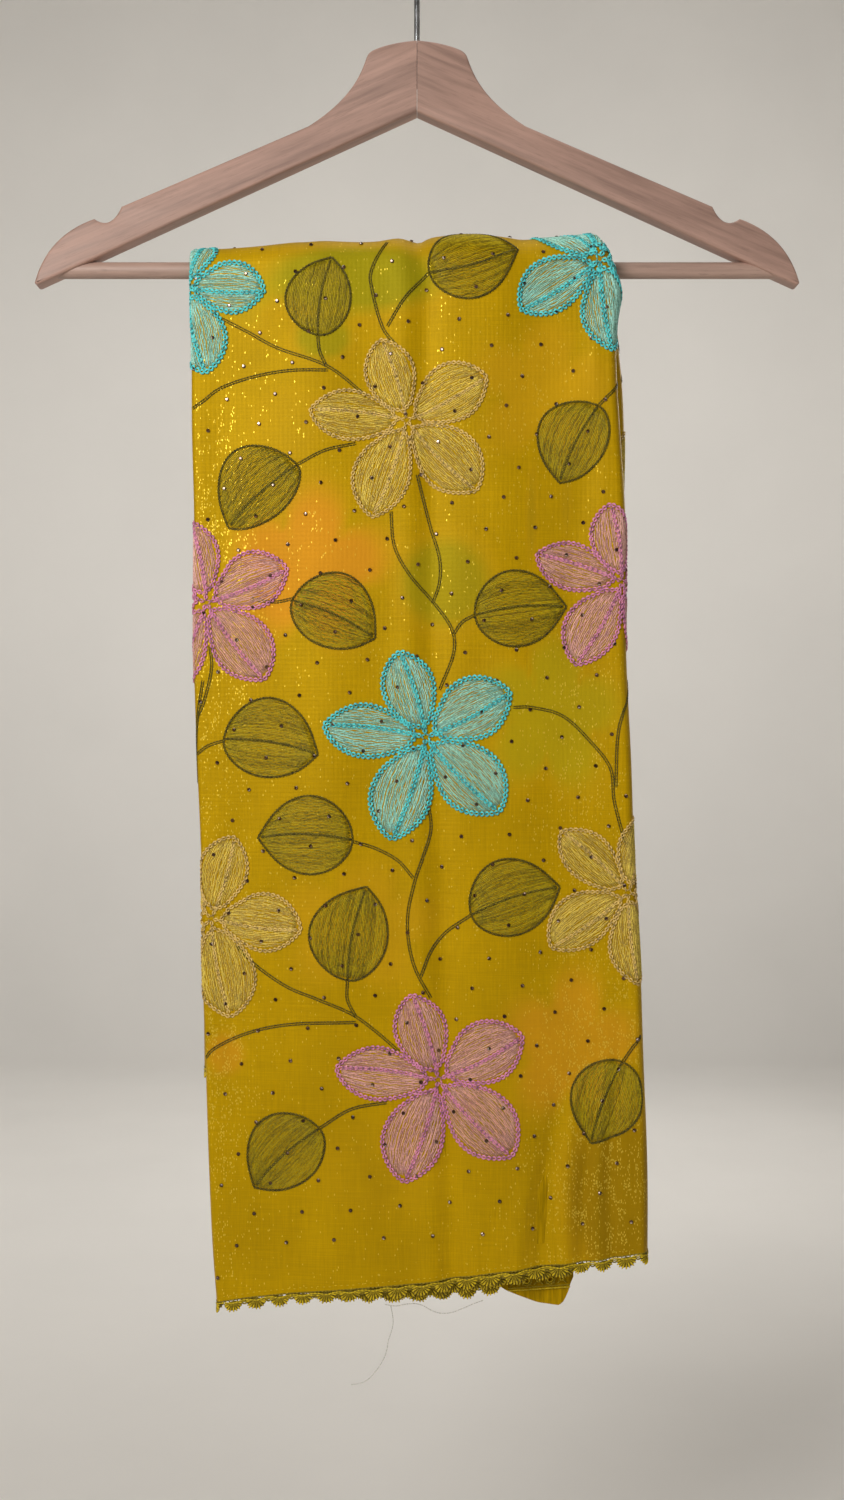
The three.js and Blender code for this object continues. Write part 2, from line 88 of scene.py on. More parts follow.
CROWN_RADIUS = 5.15  # bar's axis to the pad's inner face
FALL_RADIUS = 2.2  # middle plane to the inner face, where the falls have closed in
CLOSING_DROP = 230
CLOTH_WIDTH = 1120
PAD_MEAN = 12
HEM_SPREAD = 0.3
LEFT_FOLD = 2.6
RIGHT_FOLD = 5
CROWN_RISE = 18
CROWN_HALF = math.pi / 2 * (CROWN_RADIUS + PAD_MEAN)  # length from the pad's top to the bar's level

PAD = table(
    "across thick",
    (0, 6.4), (0.08, 7.2), (0.18, 9), (0.28, 11.3), (0.46, 11.6), (0.515, 13), (0.555, 10.9),
    (0.6, 13.2), (0.7, 14.8), (0.86, 12.6), (1, 15),
)
FRONT_SIDES = table(
    "drop left right",
    (-18, -131.5, 106.5), (0, -131.3, 113), (16, -131, 117.3), (36, -130.7, 115.2),
    (62, -130.7, 115.2), (91, -130.7, 117), (140, -129.6, 120.2), (225, -129.8, 121),
    (288, -127.8, 123.9), (346, -125.4, 125.7), (404, -124.8, 129), (461, -122.9, 130.9),
    (519, -121, 133), (574, -118.4, 133), (600, -116.4, 132.6),
)
BACK_SIDES = table(
    "drop left right",
    (-18, -131.5, 106.5), (20, -131, 115.5), (240, -127.5, 118), (480, -125, 123),
)
FRONT_HEM = table(
    "x drop",
    (-116, 599.9), (-97, 596.8), (-78, 594.2), (-42, 590.6), (-7, 587.6), (28, 582.4), (63, 577),
    (98, 573.5), (131, 567.5),
)

FRONT_LEAVES = table(
    "depth left right ends most middle reach",
    (0.71, -104, 92, -3, 3, 45, 110), (0.53, -88, 62, -4, 5.6, 10, 75), (0.36, -62, 48, 0, 9, 44, 75),
)
BACK_LEAVES = table(
    "depth left right ends most middle reach",
    (0.7, -106, 100, -2, 3, -30, 90), (0.42, -92, 74, -3, 6, -44, 80),
)
FAN_TOP = 1.2
FAN_REACH = 6.3
FAN_RIDGES = 9
SCALLOP_PITCH = 13.6

SLIPPED_DEPTH = 0.13  # as a share of the pad's thickness there
SLIPPED_HEIGHT = 46  # of the corner that is modelled, above the hem
SLIPPED_EDGE = table(
    "x drop",
    (43, 588.5), (51, 594.5), (70, 602), (84, 603.6), (89, 594), (91, 584),
)
SLIPPED_LACE = {"depth": 0.235, "left": 53, "right": 89}
SLIPPED_BAND_DROP = 594.6  # lower chain, at the left end
SLIPPED_BAND_SLOPE = 0.066
SLIPPED_BAND_HEIGHT = 12
SLIPPED_EYELETS = 6.8  # from one eyelet or cross to the next

THREAD_DIAMETER = 0.5
TAIL_ROUTE = [
    (-15.2, -10.9, -810.7), (-14.6, -11, -813.6), (-13.9, -11.1, -818), (-14, -11.1, -822.4),
    (-15.1, -11.2, -826.6), (-16.6, -11.2, -831), (-17.2, -11.3, -835), (-18.6, -11.2, -840),
    (-21.6, -10.8, -845.6), (-24.8, -10.2, -850), (-28.2, -9.6, -853.8), (-33, -9, -856.4),
    (-38.2, -8.6, -857.4),
]
LOOP_ROUTE = [
    (-18.7, -9.7, -810.4), (-12.6, -9.6, -811.4), (-6.2, -10, -810.2), (-1, -10.6, -809.7),
    (3.6, -10.8, -810.8), (8.6, -10.9, -813.6), (14, -10.8, -815.2), (20, -10.6, -814.8),
    (26.4, -10.1, -812.6), (32.6, -9.4, -810.2), (38.4, -8.7, -808.4),
]

# -------- Sizes of the finish --------

SHEET_THICK = 0.4  # the tissue itself, with its shell at the pad's outer skin
FACE_COLUMNS = 92
COLUMN_CROWDING = 1.3  # columns stand closer towards the creased right side
INNER_COLUMNS = 24
FOLD_COLUMNS = 11
FALL_ROWS = 104
CROWN_ROWS = 18

# Soft creases of the outer turn: straight troughs, or ridges where "rise" is above zero, each from
# one place to another
CREASES = table(
    "from to rise width",
    ((-116, 609), (-52, 604), -1.3, 2.2), ((-58, 604), (20, 601), -0.9, 2.8),
    ((24, 592), (62, 577), -1.0, 2.6), ((82, 505), (72, 650), -2.4, 5),
    ((92, 500), (90, 650), 1.8, 4.5), ((100, 520), (101, 650), -1.7, 3.6),
    ((108, 490), (110, 650), 1.5, 4), ((117, 470), (119, 650), -1.6, 3.6),
    ((64, 548), (58, 650), 1.5, 4.5), ((46, 566), (42, 650), -0.8, 5), ((1, -16), (3, 12), -1, 3.2),
    ((-60, -14), (-66, 60), -0.5, 6), ((60, -14), (72, 70), -0.7, 7), ((98, 8), (112, 44), -1.8, 4.5),
    ((112, 40), (104, 96), 1.1, 6), ((104, 120), (88, 260), -0.9, 9),
    ((-110, 90), (-104, 250), -0.5, 8), ((-96, 130), (-84, 300), 0.7, 9),
    ((-98, 330), (-104, 520), -0.7, 8), ((40, 220), (64, 420), -0.6, 14),
    ((-36, 250), (-46, 470), 0.7, 16), ((10, 440), (24, 560), -0.7, 10),
    ((-104, -60), (-96, -240), -0.9, 8), ((84, -50), (96, -190), -1.1, 9),
    ((30, -110), (16, -330), 0.8, 13), ((-42, -220), (-30, -430), -0.8, 12),
    ((100, -300), (92, -470), -1.2, 8), ((-110, -470), (-20, -478), -0.6, 3),
)

# Motifs, as places on the front: (x, drop below the bar's axis). The pattern repeats up the cloth. The
# flowers near the folds are turned and a little smaller.
REPEAT = 561
FLOWERS = table(
    "colour at turn size",
    ("cream", (-6, 91), 0, 0.95), ("teal", (5, 273), 0, 1), ("pink", (12, 470), 0, 1),
    ("teal", (-134, 13), -31, 0.84), ("pink", (-122, 195), -6, 0.93),
    ("cream", (-119, 378), -34, 0.96), ("teal", (105, -1), -38, 0.87), ("pink", (118, 184), -10, 0.88),
    ("cream", (121, 362), -36, 0.88),
)
# Each petal's direction, its length, and its half widths on the two sides as shares of the length
PETALS = table(
    "turn length ahead behind",
    (108, 51, 0.31, 0.26), (28, 54.5, 0.35, 0.28), (-46, 60, 0.33, 0.27), (-108.5, 61.5, 0.22, 0.33),
    (172.5, 58.5, 0.26, 0.245),
)
PETAL_START = 5.5  # radius at which the petals' outlines begin
PETAL_WEDGE = 0.74  # half width over distance, where neighbouring petals meet

LEAVES = table(
    "base tip lean",
    ((-57, 42), (-49, -3), 0.08), ((7, 6), (58, -7), 0), ((-69, 116), (-109, 152), -0.16),
    ((104, 83), (82, 127), -0.11), ((-72, 194), (-24, 216), 0.09), ((33, 203), (86, 198), 0.03),
    ((-112, 274), (-57, 283), 0.09), ((-37, 332), (-92, 331), -0.04), ((31, 375), (82, 359), 0.06),
    ((-40, 413), (-29, 359), 0.085), ((-56, 498), (-94, 533), -0.085), ((118, 459), (100, 506), -0.02),
)
LEAF_HALF = 0.41
LEAF_TIP = 1.3  # half width over distance, at the tip

STEMS = [
    [(-17, -13), (-26, 4), (-26, 15), (-20, 37), (-12, 48)],
    [(7, 6), (-7, 21), (-17, 37)],
    [(-57, 42), (-56, 51), (-52, 60)],
    [(-119, 28), (-98, 39), (-80, 49), (-51, 60), (-29, 77)],
    [(-130, 83), (-124, 79), (-113, 71), (-94, 65), (-74, 62), (-51, 62)],
    [(-69, 116), (-53, 108), (-35, 104)],
    [(104, 83), (110, 77), (116, 72), (124, 66)],
    [(-15, 143), (-13, 163), (-4, 180), (10, 196), (20, 211), (21, 225), (13, 246)],
    [(0, 122), (4, 138), (8, 153), (13, 170), (13, 184), (9, 196)],
    [(21, 214), (26, 207), (33, 203)],
    [(-96, 193), (-83, 195), (-71, 193)],
    [(-120, 220), (-119, 233), (-123, 251), (-128, 263)],
    [(-128, 283), (-121, 278), (-112, 275)],
    [(55, 256), (66, 256), (84, 261), (100, 276), (111, 291), (113, 309), (118, 329), (121, 336)],
    [(114, 302), (115, 274), (118, 260), (122, 253), (128, 240)],
    [(-130, 300), (-128, 268), (-124, 240)],
    [(6, 309), (8, 326), (3, 343), (-1, 355), (-5, 373), (-5, 389), (-1, 406), (8, 423)],
    [(-37, 333), (-24, 337), (-11, 344), (-2, 354)],
    [(31, 375), (17, 385), (8, 396), (2, 411)],
    [(-40, 413), (-40, 424), (-35, 434)],
    [(-105, 393), (-93, 405), (-75, 417), (-57, 424), (-38, 432), (-24, 442), (-10, 454)],
    [(-123, 459), (-117, 453), (-103, 446), (-87, 441), (-66, 438), (-35, 437)],
    [(-56, 498), (-38, 487), (-17, 483)],
    [(118, 459), (124, 450), (130, 444)],
]
STEM_GAP = 1.15  # between the two rows of stitches of a stem

# Motifs of the next leaf, whose colours show softly through the outer one, and a painted shade that
# darkens the front's lower right corner: place, reach and petals
GHOSTS_AND_SHADE = table(
    "at reach petals tint strength",
    ((-36, 9), (60, 24), 0, "lime", 0.85), ((-54, 43), (19, 16), 0, "lime", 0.8),
    ((-62, 175), (52, 52), 5, "orange", 0.85), ((72, 74), (44, 44), 5, "yellow", 0.5),
    ((16, 184), (30, 30), 0, "lime", 0.75), ((77, 260), (48, 54), 5, "teal", 0.6),
    ((-33, 382), (50, 40), 5, "yellow", 0.45), ((89, 451), (44, 50), 5, "orange", 0.6),
    ((-111, 456), (12, 14), 0, "orange", 0.6), ((-104, 20), (26, 24), 5, "teal", 0.4),
    ((66, 145), (3, 30), 0, "green", 0.5), ((86, 136), (3, 22), 0, "green", 0.4),
    ((-74, 92), (22, 20), 0, "green", 0.3), ((-20, 520), (40, 30), 0, "green", 0.18),
    # painted shade: the lower right corner of the front darkened where the light falls off
    ((116, 536), (34, 60), 0, "deep", 0.8),
)
# Patches of denser glinting flecks of the metallic weft, near the folds and creases where the weft
# catches the light: real metallic thread, with its density painted as highlight. Each has a place,
# reach and density
GLINTS = table(
    "at reach density",
    ((-116, 205), (22, 105), 0.6), ((-118, 440), (20, 130), 0.7), ((104, 500), (36, 110), 0.7),
    ((92, 300), (30, 130), 0.3), ((60, 90), (44, 60), 0.2), ((100, -240), (30, 160), 0.3),
    ((-110, -220), (28, 170), 0.26),
)
GLINT_EVERYWHERE = 0.05

STONE_ROW = 17.5
STONE_PITCH = 28.5
STONE_SHIFT = -0.35  # each row's shift against the one above, as a share of the pitch
STONE_START = (-3.5, 9)
STONE_RISE = math.tan(math.radians(4))
STONE_RADIUS = 1.15
STONE_HEM_GAP = 14
STONE_SIDES = 8
STONE_RINGS = ((1.0, 0.35), (1.0, 0.62), (0.56, 1.15))  # share of the radius, and height


# -------- Reading tables --------

def smooth_column(rows, key, column, steps=900):
    """Places and values of a smooth curve through one column of a table."""
    places = np.array([row[key] for row in rows], float)
    values = np.array([row[column] for row in rows], float)
    slopes = np.gradient(values, places)
    fine = np.linspace(places[0], places[-1], steps)
    i = np.clip(np.searchsorted(places, fine) - 1, 0, len(places) - 2)
    width = places[i + 1] - places[i]
    t = (fine - places[i]) / width
    curve = (
        (2 * t**3 - 3 * t**2 + 1) * values[i]
        + (t**3 - 2 * t**2 + t) * width * slopes[i]
        + (3 * t**2 - 2 * t**3) * values[i + 1]
        + (t**3 - t**2) * width * slopes[i + 1]
    )
    return fine, curve


def read(curve, at):
    return np.interp(at, *curve)


def smoothstep(low, high, value):
    t = np.clip((value - low) / (high - low), 0, 1)
    return t * t * (3 - 2 * t)


PAD_CURVE = smooth_column(PAD, "across", "thick")
FRONT_LEFT = smooth_column(FRONT_SIDES, "drop", "left")
FRONT_RIGHT = smooth_column(FRONT_SIDES, "drop", "right")
BACK_LEFT = smooth_column(BACK_SIDES, "drop", "left")
BACK_RIGHT = smooth_column(BACK_SIDES, "drop", "right")
HEM_CURVE = smooth_column(FRONT_HEM, "x", "drop")
HEM_DROP = float(read(HEM_CURVE, 0))


# -------- The cloth's form --------

def front_hem(x):
    return read(HEM_CURVE, x)


def back_hem(x):
    return CLOTH_WIDTH - math.pi * (CROWN_RADIUS + PAD_MEAN) - front_hem(x)


def hem_below(across, along):
    """Drop of the hem that ends the fall at a place."""
    return np.where(along > 0, front_hem(across), back_hem(across))


def drop_of(along):
    """Drop below the bar's axis; over the bar it is negative."""
    beyond = np.abs(along) - CROWN_HALF
    turn = math.pi / 2 * np.clip(1 - np.abs(along) / CROWN_HALF, 0, 1)
    return np.where(beyond > 0, beyond, -CROWN_RISE * np.sin(turn))


def along_of(drop):
    """Distance from the pad's top to a drop on the front."""
    if drop >= 0:
        return drop + CROWN_HALF
    radius = CROWN_RADIUS + PAD_MEAN
    return CROWN_HALF - radius * math.asin(min(1, -drop / radius))


def face_ends(along):
    """Places across where the two side folds begin."""
    drop = drop_of(along)
    left = np.where(along > 0, read(FRONT_LEFT, drop), read(BACK_LEFT, drop))
    right = np.where(along > 0, read(FRONT_RIGHT, drop), read(BACK_RIGHT, drop))
    return left + LEFT_FOLD, right - RIGHT_FOLD


def half_ellipse(a, b):
    """Length of half an ellipse's outline."""
    return math.pi * (3 * (a + b) - np.sqrt((3 * a + b) * (a + 3 * b))) / 2


def pad_thickness(share, along, across):
    """The pad's thickness at a share of its width; it grows towards the hems."""
    lowest = np.clip((np.abs(along) - CROWN_HALF) / hem_below(across, along), 0, 1.05)
    return read(PAD_CURVE, np.clip(share, 0, 1)) * (1 + HEM_SPREAD * lowest)


def fold_lengths(along, across):
    """Lengths of cloth round the left and the right fold."""
    left = half_ellipse(LEFT_FOLD, pad_thickness(0.0, along, across) / 2)
    right = half_ellipse(RIGHT_FOLD, pad_thickness(1.0, along, across) / 2)
    return left, right


def relief(across, along):
    """Height of the creases and of the pad's slow unevenness above the plain form."""
    height = 0.28 * np.sin(across / 21 + along / 90) * np.sin(along / 47 - across / 60 + 1.1)
    height = height + 0.18 * np.sin(across / 11 - along / 38 + 0.6) * np.sin(along / 24 + 2.3)
    for crease in CREASES:
        (x0, s0), (x1, s1) = crease["from"], crease["to"]
        dx, ds = x1 - x0, s1 - s0
        length = math.hypot(dx, ds)
        t = ((across - x0) * dx + (along - s0) * ds) / length**2
        bow = 0.04 * length * np.sin(math.pi * np.clip(t, 0, 1))
        away = ((across - x0) * ds - (along - s0) * dx) / length + bow
        ends = smoothstep(-0.12, 0.22, t) * (1 - smoothstep(0.78, 1.12, t))
        height = height + crease["rise"] * ends * np.exp(-((away / crease["width"]) ** 2))
    return height


def bend_over_bar(x, depth, along):
    """Points at a depth from the pad's inner face, bent over the bar and down its two sides."""
    drop = np.maximum(np.abs(along) - CROWN_HALF, 0)
    inner = CROWN_RADIUS + (FALL_RADIUS - CROWN_RADIUS) * smoothstep(0, CLOSING_DROP, drop)
    turn = math.pi / 2 * (1 - np.clip(along / CROWN_HALF, -1, 1))
    radius = inner + depth
    y = -radius * np.cos(turn)
    z = BAR_Z + radius * np.sin(turn) - drop
    return np.stack(np.broadcast_arrays(x, y, z), axis=-1)


def shell(across, along, lift=0.0):
    """Points of the outer turn's skin, moved out by a lift."""
    across, along, lift = np.broadcast_arrays(
        np.asarray(across, float), np.asarray(along, float), np.asarray(lift, float)
    )
    left, right = face_ends(along)
    share = (across - left) / (right - left)
    on_face = np.clip(share, 0, 1)
    thick = pad_thickness(on_face, along, np.clip(across, left, right))
    left_length, right_length = fold_lengths(along, across)
    near_fold = np.minimum(smoothstep(0, 0.05, share), 1 - smoothstep(0.95, 1, share))
    depth = thick + lift + relief(across, along) * near_fold
    half = thick / 2
    x = np.clip(across, left, right)
    for side, end, fold, length in (
        (1, right, RIGHT_FOLD, right_length), (-1, left, LEFT_FOLD, left_length)
    ):
        past = side * (across - end)
        turn = math.pi * (0.5 - np.clip(past / length, 0, 1))
        x = np.where(past > 0, end + side * (fold + lift) * np.cos(turn), x)
        depth = np.where(past > 0, half + (half + lift) * np.sin(turn), depth)
        x = np.where(past > length, end - side * (past - length), x)
        depth = np.where(past > length, 0, depth)
    return bend_over_bar(x, depth, along)


def unit(vectors):
    """The vectors' directions, each of length one."""
    return vectors / np.maximum(np.linalg.norm(vectors, axis=-1, keepdims=True), 1e-9)


def cloth_frame(across, along):
    """Points of the skin and the directions out of it."""
    step = 0.6
    over = shell(across + step, along) - shell(across - step, along)
    down = shell(across, along + step) - shell(across, along - step)
    return shell(across, along), unit(np.cross(down, over))


# -------- Joined meshes of many small things --------

class Skein:
    """Vertices, faces and shades of one joined mesh, gathered part by part."""

    def __init__(self):
        self.points = []
        self.shades = []
        self.faces = []
        self.count = 0

    def add(self, points, faces, shade):
        self.points.append(points)
        self.shades.append(np.broadcast_to(np.asarray(shade, float), (len(points),)))
        self.faces.extend((part + self.count for part in faces))
        self.count += len(points)

    def tube(self, centres, side, up, radius, sides=4, shade=0.5, flat=1.0, start_turn=0.25):
        """A closed tube round a line of centres. "flat" squashes it along "up"."""
        turns = TURN * (np.arange(sides) / sides + start_turn)
        radius = np.broadcast_to(np.asarray(radius, float), (len(centres),))[:, None, None]
        ring = np.cos(turns)[None, :, None] * side[:, None, :]
        ring = ring + flat * np.sin(turns)[None, :, None] * up[:, None, :]
        points = (centres[:, None, :] + radius * ring).reshape(-1, 3)
        rows = np.arange(len(centres) - 1)[:, None] * sides
        j = np.arange(sides)[None, :]
        k = (j + 1) % sides
        corners = [rows + j, rows + k, rows + sides + k, rows + sides + j]
        quads = np.stack(corners, axis=-1).reshape(-1, 4)
        first = np.arange(sides)[::-1][None, :]
        last = first[:, ::-1] + (len(centres) - 1) * sides
        shades = np.repeat(np.broadcast_to(np.asarray(shade, float), (len(centres),)), sides)
        self.add(points, [quads, first, last], shades)

    def to_object(self, name, material):
        mesh = bpy.data.meshes.new(name)
        points = np.concatenate(self.points) * MM
        sizes = np.concatenate([np.full(len(part), part.shape[1]) for part in self.faces])
        corners = np.concatenate([part.ravel() for part in self.faces])
        mesh.vertices.add(len(points))
        mesh.vertices.foreach_set("co", points.ravel())
        mesh.loops.add(len(corners))
        mesh.loops.foreach_set("vertex_index", corners.astype(np.int32))
        mesh.polygons.add(len(sizes))
        starts = np.concatenate([[0], np.cumsum(sizes)[:-1]])
        mesh.polygons.foreach_set("loop_start", starts.astype(np.int32))
        mesh.update(calc_edges=True)
        mesh.validate()
        shade = mesh.attributes.new("shade", "FLOAT", "POINT")
        shade.data.foreach_set("value", np.concatenate(self.shades).astype(np.float32))
        mesh.shade_smooth()
        thing = bpy.data.objects.new(name, mesh)
        bpy.context.collection.objects.link(thing)
        mesh.materials.append(material)
        return thing


def travelled(points):
    """Distance from the first point to each point of a line."""
    steps = np.linalg.norm(np.diff(points, axis=0), axis=1)
    return np.concatenate([[0], np.cumsum(steps)])


def interpolated(at, places, vectors):
    """Vectors at some places, between those that are known."""
    return np.stack([np.interp(at, places, column) for column in vectors.T], axis=-1)


def spaced(path, spacing):
    """The path of points, resampled at an even spacing."""
    path = np.asarray(path, float)
    distance = travelled(path)
    count = max(3, int(round(distance[-1] / spacing)) + 1)
    return interpolated(np.linspace(0, distance[-1], count), distance, path)


def curved(route, per_span=10):
    """A smooth line through a route's points."""
    route = np.asarray(route, float)
    padded = np.concatenate([[2 * route[0] - route[1]], route, [2 * route[-1] - route[-2]]])
    t = np.linspace(0, 1, per_span, endpoint=False)[:, None]
    spans = []
    for a, b, c, d in zip(padded, padded[1:], padded[2:], padded[3:]):
        spans.append(0.5 * (2 * b + (c - a) * t + (2 * a - 5 * b + 4 * c - d) * t**2
                            + (3 * b - a - 3 * c + d) * t**3))
    return np.concatenate(spans + [route[-1:]])


def runs(kept, least):
    """Places of each unbroken stretch that is kept and has more than a least number of points."""
    ends = np.flatnonzero(np.diff(kept.astype(int))) + 1
    return [run for run in np.split(np.arange(len(kept)), ends) if kept[run[0]] and len(run) > least]


def on_the_cloth(path):
    """Splits a path into the stretches that lie on the outer turn, clear of its hems."""
    across, along = path[:, 0], path[:, 1]
    left, right = face_ends(along)
    left_length, right_length = fold_lengths(along, across)
    hem = hem_below(across, along) + CROWN_HALF - THREAD_HEM_GAP
    inside = (across > left - left_length) & (across < right + right_length) & (np.abs(along) < hem)
    return [path[run] for run in runs(inside, 3)]


def line_frame(path):
    """Points, side directions and outward directions along a path on the cloth."""
    points, out = cloth_frame(path[:, 0], path[:, 1])
    ahead = unit(np.gradient(points, axis=0))
    return points, unit(np.cross(out, ahead)), out


# -------- Stitches --------

CORD_BAND = 0.6  # shades up to here are an outline's
FILL_BAND = 0.7  # shades from here are a filling's
FLECK_LENGTH = 1.4  # length of cord between changes of shade
THREAD_HEM_GAP = 3  # from a hem to the nearest stitch
FILL_THREAD = 0.8
PETAL_ROWS = 1.0  # between two threads of a petal's filling
PETAL_MARGIN = 1.3  # between a filling and the petal's outline
LEAF_ROWS = 0.95
LEAF_MARGIN = 0.008  # as a share of the leaf's length
LEAF_OUTLINE = 2.0
LEAF_MIDRIB = 2.2
LEAF_SPACING = 1.05  # between the points of a leaf's chain stitch
STEM_CORD = 1.15
STEM_SPACING = 1.15
FINE_PITCH = 3.6  # length of one twist of a fine chain


def tapered(count, radius, ends=0.35):
    """Radii along a thread that grows thin at both ends."""
    shape = np.full(count, float(radius))
    shape[0] = shape[-1] = radius * ends
    return shape


def chain_cord(skein, path, width, rng, spacing=0.9, pitch=5.8):
    """A thick row of chain stitch: two strands that swing apart and cross over each other."""
    for part in on_the_cloth(spaced(path, spacing)):
        points, side, out = line_frame(part)
        distance = spacing * np.arange(len(part)) + rng.uniform(0, pitch)
        flecks = rng.uniform(-0.32, 0.32, int(distance[-1] / FLECK_LENGTH) + 2)
        fleck = flecks[(distance / FLECK_LENGTH).astype(int)]
        for strand in (0, 1):
            turn = TURN * distance / pitch + strand * math.pi
            centres = points + side * (0.3 * width * np.cos(turn))[:, None]
            centres = centres + out * (width * (0.16 + 0.06 * np.sin(turn)))[:, None]
            # painted shade: each strand darker where it crosses the other in the middle of the cord,
            # lighter at its outer bulge; the flecks vary its tone at random
            shade = CORD_BAND * np.clip(0.62 + 0.36 * np.cos(2 * turn) + fleck, 0, 1)
            skein.tube(centres, side, out, tapered(len(part), 0.2 * width), 4, shade, 0.6, 0.125)


def laid_thread(skein, path, width, rng, spacing=3.6, wave=0.3, shade=0.5, lift=0.2):
    """One fine thread with a slight wave, lying on the cloth."""
    for part in on_the_cloth(spaced(path, spacing)):
        points, side, out = line_frame(part)
        distance = spacing * np.arange(len(part))
        sway = wave * np.sin(TURN * distance / rng.uniform(6, 9) + rng.uniform(0, TURN))
        shades = np.clip(shade + rng.uniform(-0.3, 0.3, len(part)), 0, 1)
        shades = FILL_BAND + (1 - FILL_BAND) * shades
        centres = points + side * sway[:, None] + out * lift
        skein.tube(centres, side, out, tapered(len(part), width / 1.7, 0.5), 3, shades, 0.9)


def petal_half(share, start, half, blunt):
    """Half width of a petal at a share of its length, as a share of that length."""
    shape = np.sin(math.pi * np.clip(share, 0, 1) ** 1.357) ** blunt
    opened = smoothstep(start, start + 0.07, share)
    return np.minimum(half * shape, PETAL_WEDGE * share) * opened


def petal_sides(petal):
    """Half-width functions of a petal's two sides."""
    start = PETAL_START / petal["length"]
    wide_ahead = petal["ahead"] >= petal["behind"]
    ahead = lambda t: petal_half(t, start, petal["ahead"], 0.62 if wide_ahead else 0.8)
    behind = lambda t: -petal_half(t, start, petal["behind"], 0.8 if wide_ahead else 0.62)
    return start, ahead, behind


def placed(centre, turn, length, share, offset):
    """Places on the cloth from shares along and beside a motif's own axis."""
    cos, sin = math.cos(turn), math.sin(turn)
    x = centre[0] + length * (share * cos - offset * sin)
    down = centre[1] - length * (share * sin + offset * cos)
    return np.stack([x, down], axis=1)


def embroider_flower(skein, flower, centre, cord, rng):
    """Five petals, each with an outline, a middle vein and its filling."""
    for petal in PETALS:
        turn = math.radians(petal["turn"] + flower["turn"] + rng.uniform(-1.5, 1.5))
        length = flower["size"] * petal["length"]
        start, ahead, behind = petal_sides(petal)
        t = np.sin(np.linspace(0, math.pi / 2, 40)) * (1 - start) + start
        up = placed(centre, turn, length, t, ahead(t))
        down = placed(centre, turn, length, t[::-1], behind(t[::-1]))
        chain_cord(skein, np.concatenate([up, down[1:]]), cord, rng)
        vein = np.linspace(0.02, 0.97, 30)
        bow = 0.035 * np.sin(math.pi * vein) * (1 if petal["ahead"] < petal["behind"] else -1)
        chain_cord(skein, placed(centre, turn, length, vein, bow), cord * 0.9, rng)
        fill_petal(skein, centre, turn, length, (start, ahead, behind), rng)


def fill_petal(skein, centre, turn, length, sides, rng):
    """Fills a petal with fine threads that run from its base to its tip, clear of its outline."""
    start, ahead, behind = sides
    margin = PETAL_MARGIN / length
    t = np.linspace(start + 0.05, 0.95, 60)
    widest = max(ahead(t).max(), -behind(t).min()) * length
    for row in np.arange(-widest, widest, PETAL_ROWS):
        k = (row + rng.uniform(-0.25, 0.25)) / length
        bent = k * (0.5 + 0.5 * np.sin(math.pi * t**1.2) ** 0.8)
        kept = (bent < ahead(t) - margin) & (bent > behind(t) + margin)
        for run in runs(kept, 5):
            path = placed(centre, turn, length, t[run], bent[run])
            laid_thread(skein, path, FILL_THREAD, rng, shade=rng.uniform(0.35, 0.75))


def leaf_half(share, half):
    """Half width of a leaf: round from its base, then straight in to the tip."""
    body = half * np.sin(math.pi * np.clip(share, 0, 1) ** 0.87) ** 0.6
    straight = (LEAF_TIP + 9 * max(0, half - LEAF_HALF)) * (1 - share)
    return (np.maximum(body, 1e-6) ** -8 + np.maximum(straight, 1e-6) ** -8) ** -0.125


def embroider_leaf(skein, leaf, shift, rng):
    """A leaf with an outline, a bowed midrib and its filling."""
    base = np.array([leaf["base"][0], along_of(leaf["base"][1]) + shift])
    tip = np.array([leaf["tip"][0], along_of(leaf["tip"][1]) + shift])
    length = float(np.linalg.norm(tip - base))
    turn = math.atan2(-(tip[1] - base[1]), tip[0] - base[0])
    ahead, behind = LEAF_HALF + leaf["lean"], LEAF_HALF - leaf["lean"]
    t = np.linspace(0, 1, 50)
    outline = np.concatenate([
        placed(base, turn, length, t, leaf_half(t, ahead)),
        placed(base, turn, length, t[::-1], -leaf_half(t[::-1], behind))[1:],
    ])
    chain_cord(skein, outline, LEAF_OUTLINE, rng, LEAF_SPACING, FINE_PITCH)
    vein = np.linspace(0, 0.97, 24)
    bow = 0.05 * np.sin(math.pi * vein) * (1 if leaf["lean"] > 0 else -1)
    midrib = placed(base, turn, length, vein, bow)
    chain_cord(skein, midrib, LEAF_MIDRIB, rng, LEAF_SPACING, FINE_PITCH)
    s = np.linspace(0.03, 0.97, 50)
    for row in np.arange(-0.66, 0.66, LEAF_ROWS / length):
        slant = row * (0.5 + 0.5 * np.sin(math.pi * s**0.9) ** 0.7) + 0.05 * (s - 0.5)
        below_top = slant < leaf_half(s, ahead) - LEAF_MARGIN
        kept = below_top & (slant > -leaf_half(s, behind) + LEAF_MARGIN)
        for run in runs(kept, 4):
            path = placed(base, turn, length, s[run], slant[run])
            laid_thread(skein, path, FILL_THREAD, rng, 3.3, 0.24, rng.uniform(0.15, 0.85), 0.16)


def embroider_stem(skein, route, shift, rng):
    """Two rows of chain stitch, side by side."""
    line = curved([(x, along_of(drop) + shift) for x, drop in route])
    ahead = unit(np.gradient(line, axis=0))
    beside = np.stack([-ahead[:, 1], ahead[:, 0]], axis=1)
    for side in (-1, 1):
        chain_cord(skein, line + side * STEM_GAP / 2 * beside, STEM_CORD, rng, STEM_SPACING, FINE_PITCH)


def back_limit(place, margin):
    """True where a motif at a place is far enough from the back hem."""
    return place[1] > -(back_hem(place[0]) + CROWN_HALF - margin)


# -------- Materials --------

